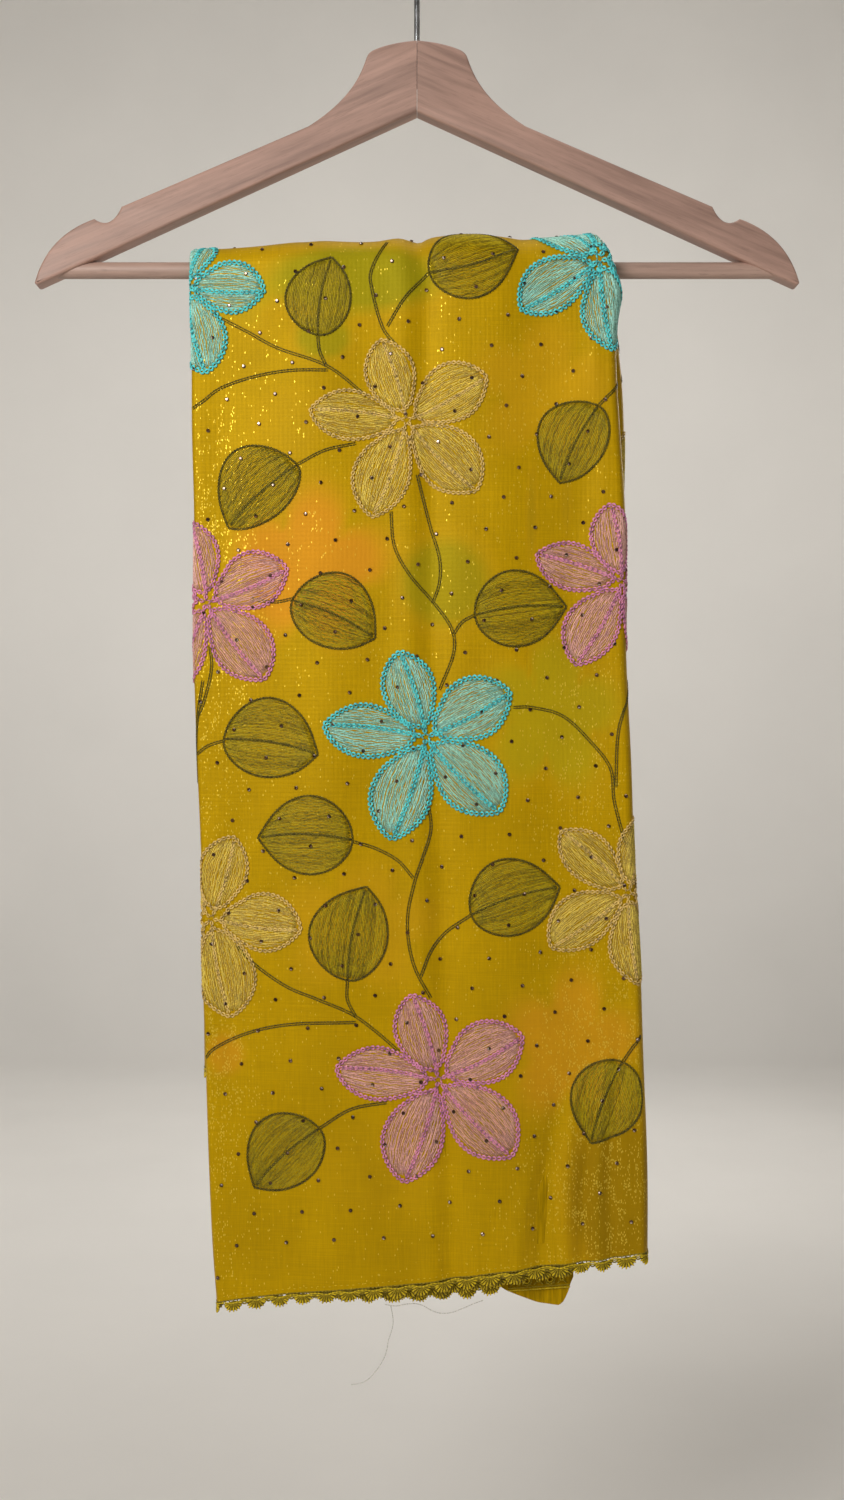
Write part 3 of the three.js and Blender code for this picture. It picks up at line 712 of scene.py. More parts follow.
class Finish:
    """A material's nodes, with short calls to add and join them."""

    def __init__(self, name, roughness, metallic=0.0):
        self.material = bpy.data.materials.new(name)
        self.material.use_nodes = True
        self.tree = self.material.node_tree
        self.shader = self.tree.nodes["Principled BSDF"]
        self.shader.inputs["Roughness"].default_value = roughness
        self.shader.inputs["Metallic"].default_value = metallic

    def node(self, kind, **settings):
        node = self.tree.nodes.new(kind)
        for name, value in settings.items():
            if name in node.inputs:
                node.inputs[name].default_value = value
            else:
                setattr(node, name, value)
        return node

    def join(self, output, target):
        self.tree.links.new(output, target)

    def set(self, **values):
        for name, value in values.items():
            self.shader.inputs[name.replace("_", " ")].default_value = value

    def place(self, scale, turn=(0, 0, 0), uv=None):
        """Stretched coordinates of the object, or of a named UV map."""
        if uv:
            start = self.node("ShaderNodeUVMap", uv_map=uv).outputs["UV"]
        else:
            start = self.node("ShaderNodeTexCoord").outputs["Object"]
        if any(turn):
            turned = self.node("ShaderNodeMapping", Rotation=turn)
            self.join(start, turned.inputs["Vector"])
            start = turned.outputs["Vector"]
        mapping = self.node("ShaderNodeMapping", Scale=scale)
        self.join(start, mapping.inputs["Vector"])
        return mapping.outputs["Vector"]

    def noise(self, vector, scale=1.0, detail=3.0, roughness=0.5):
        noise = self.node("ShaderNodeTexNoise", Scale=scale, Detail=detail, Roughness=roughness)
        self.join(vector, noise.inputs["Vector"])
        return noise.outputs["Fac"]

    def ramp(self, value, *stops):
        """Colours by a value: each stop is a place and a colour."""
        ramp = self.node("ShaderNodeValToRGB").color_ramp
        node = self.tree.nodes[-1]
        ramp.elements[0].position, ramp.elements[0].color = stops[0][0], (*stops[0][1], 1)
        ramp.elements[1].position, ramp.elements[1].color = stops[-1][0], (*stops[-1][1], 1)
        for position, colour in stops[1:-1]:
            ramp.elements.new(position).color = (*colour, 1)
        self.join(value, node.inputs["Fac"])
        return node.outputs["Color"]

    def levels(self, value, low, high, to_low=0.0, to_high=1.0):
        node = self.node("ShaderNodeMapRange")
        ends = {"From Min": low, "From Max": high, "To Min": to_low, "To Max": to_high}
        for name, number in ends.items():
            node.inputs[name].default_value = number
        self.join(value, node.inputs["Value"])
        return node.outputs["Result"]

    def maths(self, operation, first, second):
        node = self.node("ShaderNodeMath", operation=operation)
        for socket, value in zip(node.inputs, (first, second)):
            if isinstance(value, (int, float)):
                socket.default_value = value
            else:
                self.join(value, socket)
        return node.outputs["Value"]

    def mixed(self, share, first, second, blend="MIX"):
        node = self.node("ShaderNodeMix", data_type="RGBA", blend_type=blend)
        sockets = [s for s in node.inputs if s.name in ("Factor", "A", "B") and s.enabled]
        for socket, value in zip(sockets, (share, first, second)):
            if isinstance(value, (int, float)):
                socket.default_value = value
            elif isinstance(value, tuple):
                socket.default_value = (*value, 1)
            else:
                self.join(value, socket)
        return next(s for s in node.outputs if s.enabled)

    def attribute(self, name):
        return self.node("ShaderNodeAttribute", attribute_name=name)

    def bump(self, height, strength, distance):
        bump = self.node("ShaderNodeBump", Strength=strength, Distance=distance)
        self.join(height, bump.inputs["Height"])
        previous = self.shader.inputs["Normal"]
        if previous.is_linked:
            self.join(previous.links[0].from_socket, bump.inputs["Normal"])
        self.join(bump.outputs["Normal"], previous)

    def colour(self, socket):
        self.join(socket, self.shader.inputs["Base Color"])


def linear(red, green, blue):
    """A colour of 0 to 255 as Blender's linear one."""
    def one(value):
        share = value / 255
        return share / 12.92 if share <= 0.04045 else ((share + 0.055) / 1.055) ** 2.4
    return one(red), one(green), one(blue)


def scaled(colour, by):
    return tuple(min(1, part * by) for part in colour[:3])


def wood_finish(name, colour, turn):
    """Sanded beech whose grain runs along X, turned by an angle in the object's front plane."""
    wood = Finish(name, 0.5)
    dark, light = scaled(colour, 0.7), scaled(colour, 1.2)
    grain = wood.noise(wood.place((14, 150, 260), (0, turn, 0)), 1, 5, 0.62)
    broad = wood.noise(wood.place((5, 30, 55), (0, turn, 0)), 1, 3, 0.5)
    both = wood.maths("ADD", wood.maths("MULTIPLY", grain, 0.62), wood.maths("MULTIPLY", broad, 0.38))
    base = wood.ramp(both, (0.36, dark), (0.5, colour), (0.62, light))
    ray = wood.noise(wood.place((130, 700, 1500), (0, turn, 0)), 1, 2, 0.5)
    rays = wood.levels(ray, 0.6, 0.72)
    wood.colour(wood.mixed(wood.maths("MULTIPLY", rays, 0.4), base, scaled(colour, 0.62)))
    wood.join(wood.levels(both, 0.3, 0.7, 0.42, 0.6), wood.shader.inputs["Roughness"])
    wood.bump(both, 0.25, 0.0004)
    wood.bump(rays, 0.12, 0.0002)
    wood.set(Coat_Weight=0.06, Coat_Roughness=0.35)
    return wood.material


def steel_finish():
    steel = Finish("plated_steel", 0.22, 1.0)
    smear = steel.noise(steel.place((300, 300, 90)), 1, 4)
    steel.colour(steel.ramp(smear, (0.3, linear(150, 154, 160)), (0.7, linear(205, 208, 212))))
    steel.join(steel.levels(smear, 0.3, 0.7, 0.16, 0.34), steel.shader.inputs["Roughness"])
    steel.bump(smear, 0.08, 0.0001)
    return steel.material


WEAVE_SCALE = 1 / 0.00042 / 20  # a wave texture's scale for a thread every 0.42 mm


def weave_height(finish, uv):
    """Height of a plain weave: fine warp and weft threads of uneven thickness."""
    threads = []
    for direction, scale in (("X", (WEAVE_SCALE, 30, 1)), ("Y", (30, WEAVE_SCALE, 1))):
        wave = finish.node("ShaderNodeTexWave", bands_direction=direction, Scale=1.0, Distortion=0.6)
        finish.join(finish.place(scale, uv=uv), wave.inputs["Vector"])
        threads.append(wave.outputs["Fac"])
    return finish.maths("ADD", *threads)


def tissue_finish(settings):
    """Sheer tissue with a metallic weft, over soft shadows of the motifs of the next leaf and a painted
    shade at the front's lower right, with glints that are partly painted highlight.
    """
    tissue = Finish("tissue", 0.5)
    ground = tuple(settings.colour)
    streaks_down = tissue.noise(tissue.place((1100, 46, 1), uv="cloth"), 1, 3, 0.6)
    streaks_over = tissue.noise(tissue.place((38, 1300, 1), uv="cloth"), 1, 3, 0.6)
    cloud = tissue.noise(tissue.place((26, 14, 1), uv="cloth"), 1, 2, 0.5)
    fine = tissue.maths("MULTIPLY", tissue.maths("ADD", streaks_down, streaks_over), 0.5)
    base = tissue.ramp(fine, (0.3, scaled(ground, 0.86)), (0.5, ground), (0.72, scaled(ground, 1.18)))
    ghost = tissue.attribute("ghost")
    # mixes in the ghost motifs' colours and the painted shade at the lower right
    base = tissue.mixed(ghost.outputs["Alpha"], base, ghost.outputs["Color"])
    shade = tissue.levels(cloud, 0.3, 0.7, 0.92, 1.08)
    base = tissue.mixed(1.0, base, shade, "MULTIPLY")

    spots = tissue.node("ShaderNodeTexVoronoi", voronoi_dimensions="2D", Scale=1.0, Randomness=0.9)
    tissue.join(tissue.place((1350, 620, 1), uv="cloth"), spots.inputs["Vector"])
    near = tissue.levels(spots.outputs["Distance"], 0.46, 0.3)
    pick = tissue.node("ShaderNodeSeparateColor")
    tissue.join(spots.outputs["Color"], pick.inputs["Color"])
    density = tissue.attribute("glint").outputs["Fac"]
    patches = tissue.levels(tissue.noise(tissue.place((240, 60, 1), uv="cloth"), 1, 3, 0.7), 0.42, 0.62)
    chosen = tissue.maths("LESS_THAN", pick.outputs["Red"], tissue.maths("MULTIPLY", density, patches))
    glint = tissue.maths("MULTIPLY", tissue.maths("MULTIPLY", near, chosen), settings.glint)
    # painted highlight: pale gold mixed into the colour at the glint flecks, which are also made more
    # metallic and smoother
    tissue.colour(tissue.mixed(glint, base, linear(250, 218, 80)))
    tissue.join(tissue.levels(glint, 0, 1, 0.08, 0.7), tissue.shader.inputs["Metallic"])
    tissue.join(tissue.levels(glint, 0, 1, 0.52, 0.26), tissue.shader.inputs["Roughness"])
    tissue.bump(weave_height(tissue, "cloth"), 0.35, 0.00012)
    tissue.bump(fine, 0.3, 0.0002)
    tissue.set(Sheen_Weight=0.05, Sheen_Roughness=0.4, Specular_IOR_Level=0.35)
    tissue.set(Sheen_Tint=(1, 0.8, 0.25, 1), Specular_Tint=(1, 0.78, 0.15, 1))
    return tissue.material


def inner_tissue_finish(settings):
    """The same tissue where its inner leaves show at the hems, painted darker as shade between the
    layers.
    """
    inner = Finish("inner_tissue", 0.58)
    # painted shade: the tissue's own colour darkened for the leaves that lie in shade
    ground = scaled(tuple(settings.colour), 0.82)
    streaks = inner.noise(inner.place((900, 900, 60)), 1, 3, 0.6)
    inner.colour(inner.ramp(streaks, (0.3, scaled(ground, 0.7)), (0.7, scaled(ground, 1.3))))
    inner.bump(streaks, 0.3, 0.0002)
    inner.set(Specular_IOR_Level=0.2, Specular_Tint=(1, 0.78, 0.15, 1))
    return inner.material


def thread_finish(name, dark, light, fill=None, gloss=0.42):
    """Sewing or embroidery thread, coloured stitch by stitch by the mesh's own values, which hold
    random tone and, on cords and lace, painted shade.

    Shades up to CORD_BAND belong to outlines, and those from FILL_BAND to the finer filling thread.
    """
    thread = Finish(name, gloss)
    shade = thread.attribute("shade").outputs["Fac"]
    fibre = thread.noise(thread.place((950, 950, 950)), 1, 3, 0.7)
    value = thread.maths("ADD", shade, thread.levels(fibre, 0.34, 0.66, -0.13, 0.13))
    middle = tuple((a + b) / 2 for a, b in zip(dark, light))
    fill = fill or light
    thread.colour(thread.ramp(
        value, (0.06, dark), (0.5 * CORD_BAND, middle), (CORD_BAND, light),
        (FILL_BAND + 0.02, scaled(fill, 0.5)), (0.97, scaled(fill, 1.3)),
    ))
    thread.bump(fibre, 0.25, 0.0001)
    thread.set(Sheen_Weight=0.04, Sheen_Roughness=0.35, Specular_IOR_Level=0.3)
    return thread.material


def crystal_finish():
    """Smoky faceted glass: the mesh's shades tell where a facet catches the light."""
    crystal = Finish("smoky_crystal", 0.08, 0.5)
    shade = crystal.attribute("shade").outputs["Fac"]
    speck = crystal.noise(crystal.place((260, 260, 260)), 1, 1)
    value = crystal.maths("ADD", shade, crystal.levels(speck, 0.35, 0.65, -0.1, 0.15))
    crystal.colour(crystal.ramp(
        value, (0.08, linear(58, 32, 16)), (0.45, linear(150, 112, 76)), (0.95, linear(250, 240, 228)),
    ))
    crystal.set(Coat_Weight=1.0, Coat_Roughness=0.03)
    return crystal.material


def plaster_finish(name, colour, roughness):
    plaster = Finish(name, roughness)
    mottle = plaster.noise(plaster.place((3, 3, 3)), 1, 4, 0.5)
    plaster.colour(plaster.ramp(mottle, (0.3, scaled(colour, 0.97)), (0.7, scaled(colour, 1.02))))
    return plaster.material


# -------- Settings a user would change --------

def colour_property(name, description, default):
    return bpy.props.FloatVectorProperty(
        name=name, description=description, subtype="COLOR", size=3, min=0, max=1, default=default
    )


class HangerSettings(bpy.types.PropertyGroup):
    wood: colour_property("Arms", "Colour of the arms' wood", linear(171, 137, 123))
    bar: colour_property("Bar", "Colour of the bar's wood", linear(178, 148, 134))


class ClothSettings(bpy.types.PropertyGroup):
    colour: colour_property("Tissue", "Colour of the tissue", linear(190, 150, 2))
    thickness: bpy.props.FloatProperty(
        name="Thickness", description="Thickness of the cloth", default=SHEET_THICK * MM,
        unit="LENGTH", min=0.0002, max=0.001,
    )
    glint: bpy.props.FloatProperty(
        name="Glint", description="How bright the metallic weft shows", default=0.62,
        subtype="FACTOR", min=0, max=1,
    )


class StitchSettings(bpy.types.PropertyGroup):
    teal: colour_property("Teal", "Colour of the teal thread", linear(100, 236, 238))
    cream: colour_property("Cream", "Colour of the cream thread", linear(250, 208, 120))
    pink: colour_property("Pink", "Colour of the pink thread", linear(244, 156, 196))
    leaf: colour_property("Olive", "Colour of the leaves' thread", linear(110, 98, 6))
    lace: colour_property("Lace", "Colour of the lace's thread", linear(176, 152, 20))
    teal_fill: colour_property(
        "Teal filling", "Colour of the teal petals' filling", linear(172, 240, 214)
    )
    cream_fill: colour_property(
        "Cream filling", "Colour of the cream petals' filling", linear(248, 204, 92)
    )
    pink_fill: colour_property(
        "Pink filling", "Colour of the pink petals' filling", linear(255, 180, 168)
    )
    leaf_fill: colour_property("Olive filling", "Colour of the leaves' filling", linear(180, 158, 4))
    cord: bpy.props.FloatProperty(
        name="Outline", description="Width of the flowers' outlines", default=4.1 * MM, unit="LENGTH",
        min=0.002, max=0.006,
    )


class StageSettings(bpy.types.PropertyGroup):
    floor: colour_property("Floor", "Colour of the floor and the walls", linear(240, 237, 232))
    brightness: bpy.props.FloatProperty(
        name="Brightness", description="Strength of all lights", default=1.0, min=0, max=5
    )


# -------- Helpers for pieces made with modelling operators --------

def deselect():
    bpy.ops.object.select_all(action="DESELECT")


def take(thing):
    """Makes a thing the only selected and active one."""
    deselect()
    thing.select_set(True)
    bpy.context.view_layer.objects.active = thing


def fix_place(thing):
    """Moves the object's place, turn and size into its mesh."""
    take(thing)
    bpy.ops.object.transform_apply(location=True, rotation=True, scale=True)


def name_it(name, material):
    """Names the active object and gives it its only material."""
    thing = bpy.context.active_object
    thing.name = thing.data.name = name
    thing.data.materials.clear()
    thing.data.materials.append(material)
    return thing


def face_outwards():
    """Selects all of the mesh in edit mode and turns its faces outwards."""
    bpy.ops.mesh.select_all(action="SELECT")
    bpy.ops.mesh.normals_make_consistent(inside=False)


def apply_modifier(thing, kind, **settings):
    take(thing)
    modifier = thing.modifiers.new(kind.title(), kind)
    for name, value in settings.items():
        setattr(modifier, name, value)
    bpy.ops.object.modifier_apply(modifier=modifier.name)


def smooth(thing, degrees=35):
    take(thing)
    bpy.ops.object.shade_smooth_by_angle(angle=math.radians(degrees))


def thicken(sheet, thickness, offset, **settings):
    """Gives a sheet the thickness of cloth, inwards or on both sides of it."""
    apply_modifier(sheet, "SOLIDIFY", thickness=thickness, offset=offset, **settings)
    smooth(sheet, 50)


def settle(thing, *nodes, slot):
    """Puts a finished piece on the object's one body, in place of the nodes."""
    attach(thing, "root")
    if nodes:
        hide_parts(*nodes)


# -------- Stage, camera and lights --------

CAMERA_PLACE = (2.9, -950, -489.4)
CAMERA_LENS = 38.97
CAMERA_SENSOR = 36
FLOOR_Z = -1120
ROOM_FRONT, ROOM_BACK = -4000, 2300  # far enough for a camera on any side of the saree
ROOM_WIDTH = 8000
ROOM_HEIGHT = 4000
AMBIENT_TINT = (0.9, 0.92, 0.95)
AMBIENT_STRENGTH = 0.4
WARM, COOL = (1, 0.98, 0.95), (0.95, 0.97, 1)
LIGHTS = table(  # places and sizes in metres, power in watts
    "name place aim size power tint",
    ("key", (-0.66, -1.15, 0.04), (-0.02, 0, -0.4), (0.6, 0.6), 13.2, WARM),
    ("fill", (1.25, -1.1, -0.35), (0, 0, -0.4), (1.0, 1.2), 1.8, COOL),
    ("top", (0.1, 0.1, 0.75), (0, 0, -0.3), (0.8, 0.5), 3.2, WARM),
    ("rear", (0.9, 1.5, 0.2), (0, 0, -0.4), (0.8, 0.8), 6, WARM),
    ("wash", (0, 0.9, 0.3), (0, 2.3, -0.35), (2.4, 0.9), 14, WARM),
)


def add_camera():
    bpy.ops.object.camera_add(
        location=[value * MM for value in CAMERA_PLACE], rotation=(math.pi / 2, 0, 0)
    )
    camera = bpy.context.active_object
    camera.data.lens = CAMERA_LENS
    camera.data.sensor_width = CAMERA_SENSOR
    camera.data.clip_start = 0.01
    bpy.context.scene.camera = camera


def add_area_light(brightness, name, place, aim, size, power, tint):
    bpy.ops.object.light_add(type="AREA", location=place)
    light = bpy.context.active_object
    light.name = name
    light.data.shape = "RECTANGLE"
    light.data.size, light.data.size_y = size
    light.data.energy = power * brightness
    light.data.color = tint
    ahead = np.array(aim, float) - np.array(place, float)
    across = math.hypot(ahead[0], ahead[1])
    light.visible_camera = False
    light.rotation_euler = (math.atan2(across, -ahead[2]), 0, math.atan2(-ahead[0], ahead[1]))


class SAREE_OT_stage(bpy.types.Operator):
    """Sets up the pale room round the saree, its soft lights and the camera"""

    bl_idname = "saree.stage"
    bl_label = "Stage"

    def execute(self, context):
        settings = context.scene.saree_stage
        deselect()
        add_camera()
        for light in LIGHTS:
            add_area_light(settings.brightness, **light)
        world = bpy.data.worlds.new("soft_room")
        world.use_nodes = True
        background = world.node_tree.nodes["Background"]
        background.inputs["Color"].default_value = (*AMBIENT_TINT, 1)
        background.inputs["Strength"].default_value = AMBIENT_STRENGTH * settings.brightness
        context.scene.world = world
        context.scene.view_settings.view_transform = "Standard"

        deselect()
        middle = (ROOM_FRONT + ROOM_BACK) / 2
        bpy.ops.mesh.primitive_plane_add(size=1, location=(0, middle * MM, FLOOR_Z * MM))
        bpy.ops.transform.resize(value=(ROOM_WIDTH * MM, (ROOM_BACK - ROOM_FRONT) * MM, 1))
        floor = name_it("floor", plaster_finish("pale_floor", tuple(settings.floor), 0.8))
        fix_place(floor)
        bpy.ops.object.mode_set(mode="EDIT")
        bpy.ops.mesh.extrude_region_move(TRANSFORM_OT_translate={"value": (0, 0, ROOM_HEIGHT * MM)})
        bpy.ops.object.mode_set(mode="OBJECT")
        bpy.ops.object.shade_smooth()
        return {"FINISHED"}


# -------- Loose threads --------

def add_thread(name, route, node, material):
    """A free end of sewing thread as a smooth round tube."""
    line = curved(route, 6)
    ahead = unit(np.gradient(line, axis=0))
    side = unit(np.cross(ahead, np.array([0, 1, 0.0])))
    up = np.cross(side, ahead)
    skein = Skein()
    ply = 0.5 + 0.4 * np.sin(TURN * np.arange(len(line)) / 3)
    skein.tube(line, side, up, THREAD_DIAMETER / 2, 8, ply)
    thread = skein.to_object(name, material)
    settle(thread, node, slot="thread")


class SAREE_OT_threads(bpy.types.Operator):
    """Adds the two loose ends of white sewing thread below the front hem"""

    bl_idname = "saree.threads"
    bl_label = "Loose threads"

    def execute(self, context):
        white = thread_finish("white_thread", linear(170, 164, 152), linear(238, 234, 226), gloss=0.5)
        add_thread("loose_tail", TAIL_ROUTE, "thread_tail", white)
        add_thread("loose_loop", LOOP_ROUTE, "thread_loop", white)
        return {"FINISHED"}


# -------- Hanger --------

def arm_outline():
    """Knots of the right arm's outline: place and two handles in (x, z), from the head's top round."""
    top = HEAD_TOP_Z
    return [
        ((-JOINT_SPARE, top), (-JOINT_SPARE, top - 10), (2, top + 0.2)),
        ((25.6, top - 5.9), (16.5, top - 1.5), (28.3, top - 7.4)),
        ((29.7, top - 11), (29, top - 8.9), (32.8, top - 20)),
        ((63, top - 50), (38.5, top - 34.5), (70, top - 53.1)),
        ((172, top - 97), (165, top - 94), (174.6, top - 103)),
        ((182, top - 106.3), (178, top - 106.4), (184.3, top - 106.2)),
        ((187.8, top - 104), (186.3, top - 104.9), (205, top - 110)),
        ((HALF_WIDTH, top - TIP_DROP + 1.5), (217.5, top - 122), (222.4, top - TIP_DROP + 0.6)),
        ((HALF_WIDTH - 2.2, top - TIP_DROP + 0.3), (221.3, top - TIP_DROP), (210, top - TIP_DROP + 5)),
        ((0, top - APEX_DROP), (10, top - 46.1), (-1, top - APEX_DROP)),
        ((-JOINT_SPARE, top - APEX_DROP), (-3, top - APEX_DROP), (-JOINT_SPARE, top - 30)),
    ]


class SAREE_OT_hanger_arms(bpy.types.Operator):
    """Models the hanger's two flat arms, glued together at the head"""

    bl_idname = "saree.hanger_arms"
    bl_label = "Hanger arms"

    def execute(self, context):
        settings = context.scene.saree_hanger
        for side, node in ((1, "hanger_arm_right"), (-1, "hanger_arm_left")):
            deselect()
            bpy.ops.curve.primitive_bezier_curve_add(location=(0, 0, 0))
            arm = bpy.context.active_object
            curve = arm.data
            curve.splines.clear()
            curve.dimensions = "2D"
            curve.fill_mode = "BOTH"
            curve.resolution_u = 14
            curve.extrude = (ARM_THICK / 2 - ARM_ROUND) * MM
            curve.bevel_depth = ARM_ROUND * MM
            curve.offset = -ARM_ROUND * MM
            curve.bevel_resolution = 3
            spline = curve.splines.new("BEZIER")
            knots = arm_outline()
            spline.bezier_points.add(len(knots) - 1)
            spline.use_cyclic_u = True
            for point, knot in zip(spline.bezier_points, knots):
                point.handle_left_type = point.handle_right_type = "FREE"
                places = [(side * x * MM, z * MM, 0) for x, z in knot]
                point.co, point.handle_left, point.handle_right = places
            bpy.ops.object.convert(target="MESH")
            arm = bpy.context.active_object
            arm.rotation_euler = (math.pi / 2, 0, 0)
            fix_place(arm)
            bpy.ops.object.mode_set(mode="EDIT")
            bpy.ops.mesh.select_all(action="SELECT")
            bpy.ops.mesh.remove_doubles(threshold=0.00002)
            bpy.ops.mesh.bisect(
                plane_co=(side * JOINT_LINE * MM, 0, 0), plane_no=(side, 0, 0),
                use_fill=True, clear_inner=True, clear_outer=False,
            )
            face_outwards()
            bpy.ops.object.mode_set(mode="OBJECT")
            wood = wood_finish(f"beech_{node[11:]}", tuple(settings.wood), -side * ARM_SLOPE)
            arm = name_it(node.replace("hanger_", "wooden_"), wood)
            smooth(arm, 30)
            settle(arm, node, slot="wood")
        return {"FINISHED"}


class SAREE_OT_hanger_bar(bpy.types.Operator):
    """Models the round bar between the arms"""

    bl_idname = "saree.hanger_bar"
    bl_label = "Hanger bar"

    def execute(self, context):
        deselect()
        bpy.ops.mesh.primitive_cylinder_add(
            vertices=48, radius=BAR_DIAMETER / 2 * MM, depth=2 * BAR_HALF_LENGTH * MM,
            location=(0, 0, BAR_Z * MM), rotation=(0, math.pi / 2, 0),
        )
        wood = wood_finish("beech_dowel", tuple(context.scene.saree_hanger.bar), 0.0)
        bar = name_it("wooden_bar", wood)
        fix_place(bar)
        apply_modifier(bar, "BEVEL", width=0.0008, segments=3, limit_method="ANGLE")
        smooth(bar, 30)
        settle(bar, "hanger_bar", slot="bar_wood")
        return {"FINISHED"}


class SAREE_OT_hook(bpy.types.Operator):
    """Bends the hook out of one round wire"""

    bl_idname = "saree.hook"
    bl_label = "Hook"

    def execute(self, context):
        loop_radius = HOOK_INNER_RADIUS + WIRE_DIAMETER / 2
        reach = loop_radius + BEND_RADIUS
        bend_z = -HOOK_INNER_RADIUS - math.sqrt(reach**2 - BEND_RADIUS**2)
        meeting = math.atan2(bend_z + HOOK_INNER_RADIUS, BEND_RADIUS)
        foot = HEAD_TOP_Z - STEM_SUNK
        deselect()
        bpy.ops.mesh.primitive_circle_add(
            vertices=24, radius=WIRE_DIAMETER / 2 * MM, fill_type="NGON", location=(0, 0, foot * MM)
        )
        hook = bpy.context.active_object
        fix_place(hook)
        bpy.ops.object.mode_set(mode="EDIT")
        bpy.ops.mesh.select_all(action="SELECT")
        bpy.ops.mesh.extrude_region_move(TRANSFORM_OT_translate={"value": (0, 0, (bend_z - foot) * MM)})
        self.bend(12, (BEND_RADIUS, bend_z), -meeting, -1)
        self.bend(72, (0, -HOOK_INNER_RADIUS), math.radians(HOOK_END_ANGLE) - meeting, 1)
        bpy.ops.mesh.bevel(offset=1.1 * MM, segments=4, affect="EDGES")
        bpy.ops.mesh.select_all(action="SELECT")
        bpy.ops.mesh.remove_doubles(threshold=0.00001)
        bpy.ops.mesh.normals_make_consistent(inside=False)
        bpy.ops.object.mode_set(mode="OBJECT")
        hook = name_it("wire_hook", steel_finish())
        smooth(hook, 40)
        settle(hook, "hook", slot="steel")
        return {"FINISHED"}

    def bend(self, steps, centre, angle, side):
        """Carries the selected end of the wire round a centre in the front plane."""
        bpy.ops.mesh.spin(
            steps=steps, angle=angle * side, center=(centre[0] * MM, 0, centre[1] * MM), axis=(0, 1, 0)
        )


# -------- Cloth --------

TINTS = {
    "green": linear(112, 114, 10),
    "lime": linear(138, 142, 14),
    "teal": linear(158, 168, 20),
    # painted shade for the front's lower right corner: the ground's hue, darker
    "deep": linear(136, 106, 2),
    "orange": linear(226, 146, 34),
    "yellow": linear(214, 160, 22),
}


def column_places(along, across):
    """Places across the outer turn, once round: face, right fold, inner face and left fold."""
    left, right = (end[:, None] for end in face_ends(along))
    left_length, right_length = (length[:, None] for length in fold_lengths(along, across))
    face = 1 - np.linspace(1, 0, FACE_COLUMNS, endpoint=False)[None, :] ** COLUMN_CROWDING
    inner = np.linspace(0, 1, INNER_COLUMNS, endpoint=False)[None, :]
    fold = np.linspace(0, 1, FOLD_COLUMNS, endpoint=False)[None, :]
    spans = [
        face * (right - left) + left,
        right + fold * right_length,
        right + right_length + inner * (right - left),
        left - left_length * (1 - fold),
    ]
    return np.concatenate(spans, axis=1)


def ghost_and_shade_share(ghost, across, along):
    """How far a place lies inside a ghost motif, or inside the painted shade patch, from 0 to 1, with a
    soft edge.
    """
    x, drop = ghost["at"]
    dx = (across - x) / ghost["reach"][0]
    dy = (along - along_of(drop) if drop > -20 else along - drop) / ghost["reach"][1]
    distance = np.hypot(dx, dy)
    edge = np.ones_like(distance)
    if ghost["petals"]:
        turn = np.arctan2(dy, dx)
        edge = 0.5 + 0.5 * np.abs(np.cos(ghost["petals"] / 2 * turn + 0.5)) ** 0.6
    return 1 - smoothstep(0.62, 1.22, distance / edge)


def paint_cloth(mesh, across, along):
    """Stores the soft colours of the motifs below, the painted shade at the front's lower right, and
    the density of the metallic weft's glints, which are partly painted highlight.
    """
    colour = np.zeros((len(across), 4))
    colour[:, :3] = TINTS["yellow"]
    for ghost in GHOSTS_AND_SHADE:
        for shift in (0, -REPEAT):
            share = ghost["strength"] * ghost_and_shade_share(ghost, across, along - shift)
            weight = share[:, None]
            colour[:, :3] = colour[:, :3] * (1 - weight) + np.array(TINTS[ghost["tint"]]) * weight
            colour[:, 3] = np.maximum(colour[:, 3], share)
    ghost_and_shade_colours = mesh.attributes.new("ghost", "FLOAT_COLOR", "POINT")
    ghost_and_shade_colours.data.foreach_set("color", colour.astype(np.float32).ravel())
    density = np.full(len(across), GLINT_EVERYWHERE)
    for patch in GLINTS:
        x, drop = patch["at"]
        dx = (across - x) / patch["reach"][0]
        dy = (along - (drop + CROWN_HALF if drop > 0 else drop)) / patch["reach"][1]
        density = np.maximum(density, patch["density"] * np.exp(-(dx**2 + dy**2)))
    glint = mesh.attributes.new("glint", "FLOAT", "POINT")
    glint.data.foreach_set("value", density.astype(np.float32))


def grid_faces(rows, columns, closed):
    """Faces of a grid of points; a closed one joins its last column to its first."""
    i = np.arange(rows - 1)[:, None]
    j = np.arange(columns if closed else columns - 1)[None, :]
    k = (j + 1) % columns
    here, below = i * columns, (i + 1) * columns
    corners = np.broadcast_arrays(here + j, here + k, below + k, below + j)
    return np.stack(corners, axis=-1).reshape(-1, 4)


def mesh_from(name, points, faces):
    """An object from points in millimetres and faces."""
    mesh = bpy.data.meshes.new(name)
    mesh.from_pydata((points.reshape(-1, 3) * MM).tolist(), [], faces.tolist())
    mesh.update()
    thing = bpy.data.objects.new(name, mesh)
    bpy.context.collection.objects.link(thing)
    return thing


def store_cloth_map(mesh, across, along):
    """A UV map in metres of cloth, so that a weave keeps its size everywhere."""
    layer = mesh.uv_layers.new(name="cloth")
    corners = np.empty(len(mesh.loops), np.int32)
    mesh.loops.foreach_get("vertex_index", corners)
    places = np.stack([across[corners], along[corners]], axis=1) * MM
    layer.data.foreach_set("uv", places.astype(np.float32).ravel())


